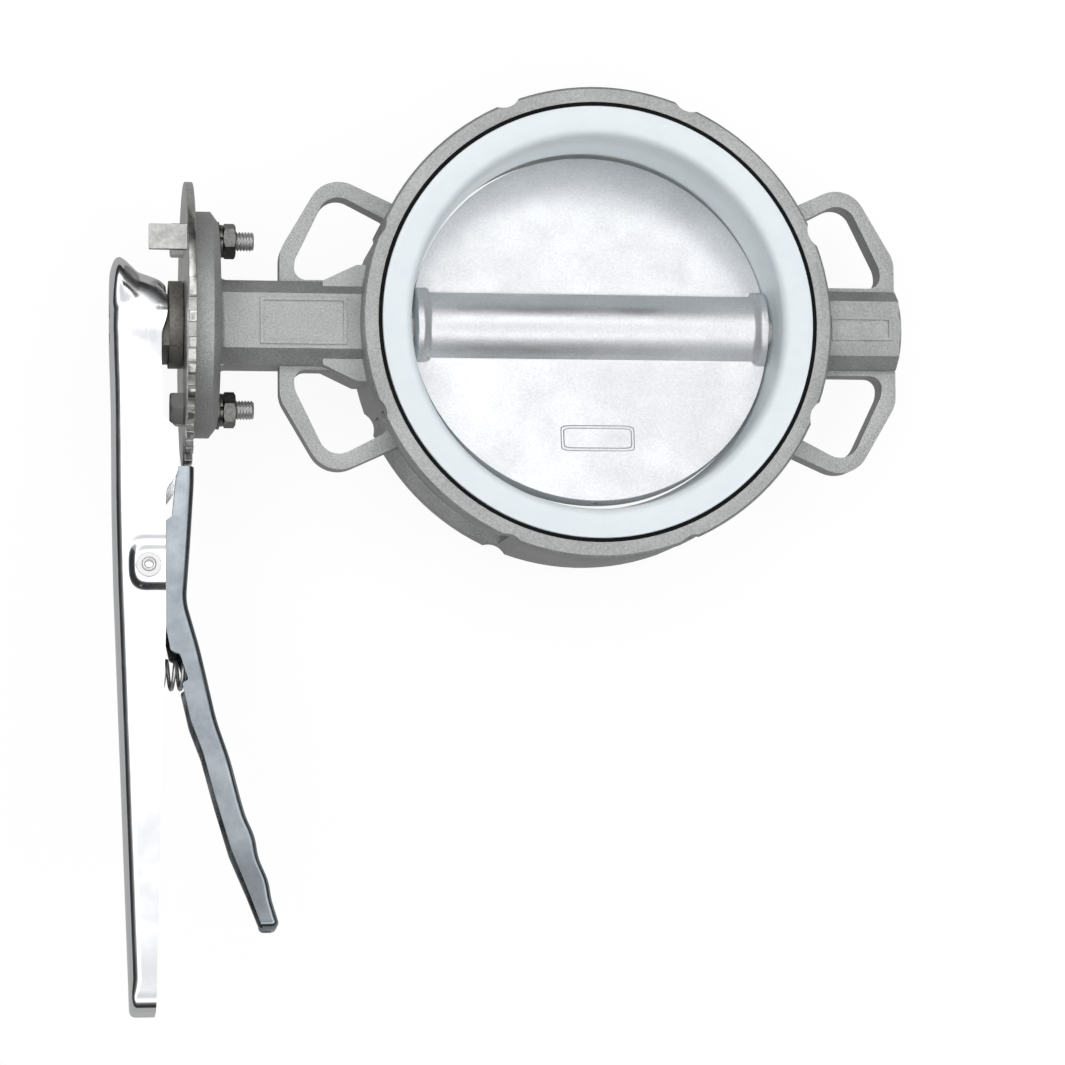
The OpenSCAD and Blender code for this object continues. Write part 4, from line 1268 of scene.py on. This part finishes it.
@dataclass
class Studio:
    """The camera, the pale floor and the soft light round the valve.

    The valve lies on its back face's edge and on the notch plate, so the floor tilts in the valve's frame.
    The sky's stops run from straight down (0) to straight up (1).
    """

    eye: tuple[float, float, float] = (-0.22415, -0.20260, 1.36447)
    right: tuple[float, float, float] = (0.98952, -0.00760, 0.14417)
    up: tuple[float, float, float] = (-0.00479, 0.99634, 0.08535)
    back: tuple[float, float, float] = (-0.14429, -0.08514, 0.98587)
    lens: float = 112.857
    floor_size: float = 6.0
    floor_glow: float = 0.93
    floor_tone: float = 0.07
    mirrored_glow: float = 0.4
    ring_edge: float = 0.0974
    floor_gap: float = 0.0006
    sky_strength: float = 2.0
    sky: tuple[tuple[float, float], ...] = (
        (0.0, 0.3), (0.44, 0.3), (0.52, 0.01), (0.72, 0.03), (0.83, 0.15),
        (0.9, 0.9), (0.94, 1.0), (0.975, 0.5), (1.0, 0.4),
    )

    def camera(self) -> None:
        """Makes the camera at the viewing angle, with no shift."""
        data = bpy.data.cameras.new("camera")
        data.lens = self.lens
        data.sensor_width = 36.0
        data.sensor_fit = "AUTO"
        cam = linked("camera", data)
        turned, _, wide = np.linalg.svd(np.array([self.right, self.up, self.back]))
        stand = np.eye(4)
        stand[:3, :3] = (turned @ wide).T
        stand[:3, 3] = self.eye
        cam.matrix_world = Matrix(stand.tolist())
        bpy.context.scene.camera = cam

    def floor(self) -> None:
        """Lays a pale plane under the two edges that the valve rests on."""
        plate_low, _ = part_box("notch_plate")
        ring_low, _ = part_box("ptfe_seat")
        left = Vector((plate_low.x, 0, plate_low.z))
        right = Vector((self.ring_edge, 0, ring_low.z + self.floor_gap))
        along = (right - left).normalized()
        normal = along.cross(Vector((0, 1, 0))).normalized()
        mid = (left + right) / 2 - normal * self.floor_gap
        half = self.floor_size / 2
        corners = [
            mid + along * a * half + Vector((0, b * half, 0))
            for a, b in ((-1, -1), (1, -1), (1, 1), (-1, 1))
        ]
        mesh = bpy.data.meshes.new("floor")
        mesh.from_pydata([tuple(c) for c in corners], [], [(0, 1, 2, 3)])
        obj = linked("floor", mesh)
        mesh.materials.append(self.paper())

    def paper(self) -> bpy.types.Material:
        """The floor's material: nearly black paper that glows for the camera, and weakly in reflections.

        Returns:
            The new material.
        """
        mat = bpy.data.materials.new("floor_paper")
        mat.use_nodes = True
        shader = mat.node_tree.nodes["Principled BSDF"]
        shader.inputs["Base Color"].default_value = (self.floor_tone, self.floor_tone, self.floor_tone, 1)
        shader.inputs["Roughness"].default_value = 0.9
        shader.inputs["Emission Color"].default_value = (1, 1, 1, 1)
        path = mat.node_tree.nodes.new("ShaderNodeLightPath")
        wire = Wire(mat.node_tree)
        mirrored = wire.math("MULTIPLY", path.outputs["Is Glossy Ray"], self.mirrored_glow)
        seen = wire.math("MAXIMUM", path.outputs["Is Camera Ray"], mirrored)
        glow = wire.math("MULTIPLY", seen, self.floor_glow)
        wire.link(glow, shader.inputs["Emission Strength"])
        return mat

    def light(self) -> None:
        """A bright sky overhead that falls to a dark horizon, with two large soft lamps."""
        world = bpy.data.worlds.new("studio")
        bpy.context.scene.world = world
        world.use_nodes = True
        nodes, links = world.node_tree.nodes, world.node_tree.links
        nodes.clear()
        out = nodes.new("ShaderNodeOutputWorld")
        sky = nodes.new("ShaderNodeBackground")
        coord = nodes.new("ShaderNodeTexCoord")
        split = nodes.new("ShaderNodeSeparateXYZ")
        ramp = nodes.new("ShaderNodeValToRGB")
        span = nodes.new("ShaderNodeMapRange")
        span.inputs["From Min"].default_value = -1
        links.new(coord.outputs["Generated"], split.inputs[0])
        links.new(split.outputs["Z"], span.inputs["Value"])
        links.new(span.outputs["Result"], ramp.inputs["Fac"])
        ramp.color_ramp.elements[0].position = 0.0
        ramp.color_ramp.elements[1].position = 1.0
        for height, _ in self.sky[1:-1]:
            ramp.color_ramp.elements.new(height)
        for element, (height, value) in zip(ramp.color_ramp.elements, self.sky):
            element.position = height
            element.color = (value, value, value * 1.02, 1)
        links.new(ramp.outputs["Color"], sky.inputs["Color"])
        sky.inputs["Strength"].default_value = self.sky_strength
        links.new(sky.outputs["Background"], out.inputs["Surface"])
        self._lamp("key", (-0.7, 1.1, 1.7), 1.2, 4.0)
        self._lamp("fill", (1.2, -0.6, 1.6), 1.6, 2.0)

    def _lamp(self, name: str, spot: tuple[float, float, float], size: float, power: float) -> None:
        """One square lamp that faces the valve.

        Args:
            name: The lamp's name.
            spot: Where it hangs, in metres.
            size: Side of the square, in metres.
            power: Watts.
        """
        data = bpy.data.lights.new(name, "AREA")
        data.size = size
        data.energy = power
        lamp = linked(name, data)
        lamp.location = spot
        lamp.rotation_mode = "QUATERNION"
        lamp.rotation_quaternion = (-Vector(spot)).to_track_quat("-Z", "Y")

    def build(self) -> None:
        """Makes camera, floor and lights."""
        self.camera()
        self.floor()
        self.light()
        bpy.context.scene.view_settings.view_transform = "Standard"
        LOG.info("studio built")


# ---------------------------------------------------------------- build

DRESSED: dict[str, tuple[Finish, float]] = {
    "seat_backing_ring": (RUBBER, 0.3),
    "neck_bush_inner": (BRONZE, 0.0),
    "neck_bush_outer": (BRONZE, 0.0),
    "stem_seal_rings": (RUBBER, 0.0),
    "stem_top_seal": (RUBBER, 0.0),
    "gland_washer": (TURNED, 0.2),
    "stub_bush": (BRONZE, 0.0),
    "stub_seal_ring": (RUBBER, 0.0),
    "plug_gasket": (RUBBER, 0.0),
    "bottom_plug": (BOLTED, 0.4),
    "notch_plate": (SHEET, 0.35),
    "flat_washers": (DARK_STEEL, 0.15),
    "spring_washers": (DARK_STEEL, 0.2),
    "drive_stem": (TURNED, 0.3),
    "stub_stem": (TURNED, 0.3),
    "lever_hub": (HUB_CAST, 0.5),
    "lever_washer": (BOLTED, 0.2),
    "lever_screw": (BOLTED, 0.4),
    "pin_washers": (BOLTED, 0.2),
}


def main() -> None:
    """Loads the frame and builds everything in order."""
    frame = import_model()
    Studio().build()
    for maker in (Casting(frame), Seat(), Disc(), Handle(), Trigger(), Fasteners(), Rivet(), Spring()):
        maker.build()
        LOG.info("%s built", type(maker).__name__)
    for node, (finish, width) in DRESSED.items():
        dress(frame, node, finish, width)
        LOG.info("%s dressed as %s", node, finish.name)


if __name__ == "__main__":
    logging.basicConfig(level=logging.INFO)
    main()
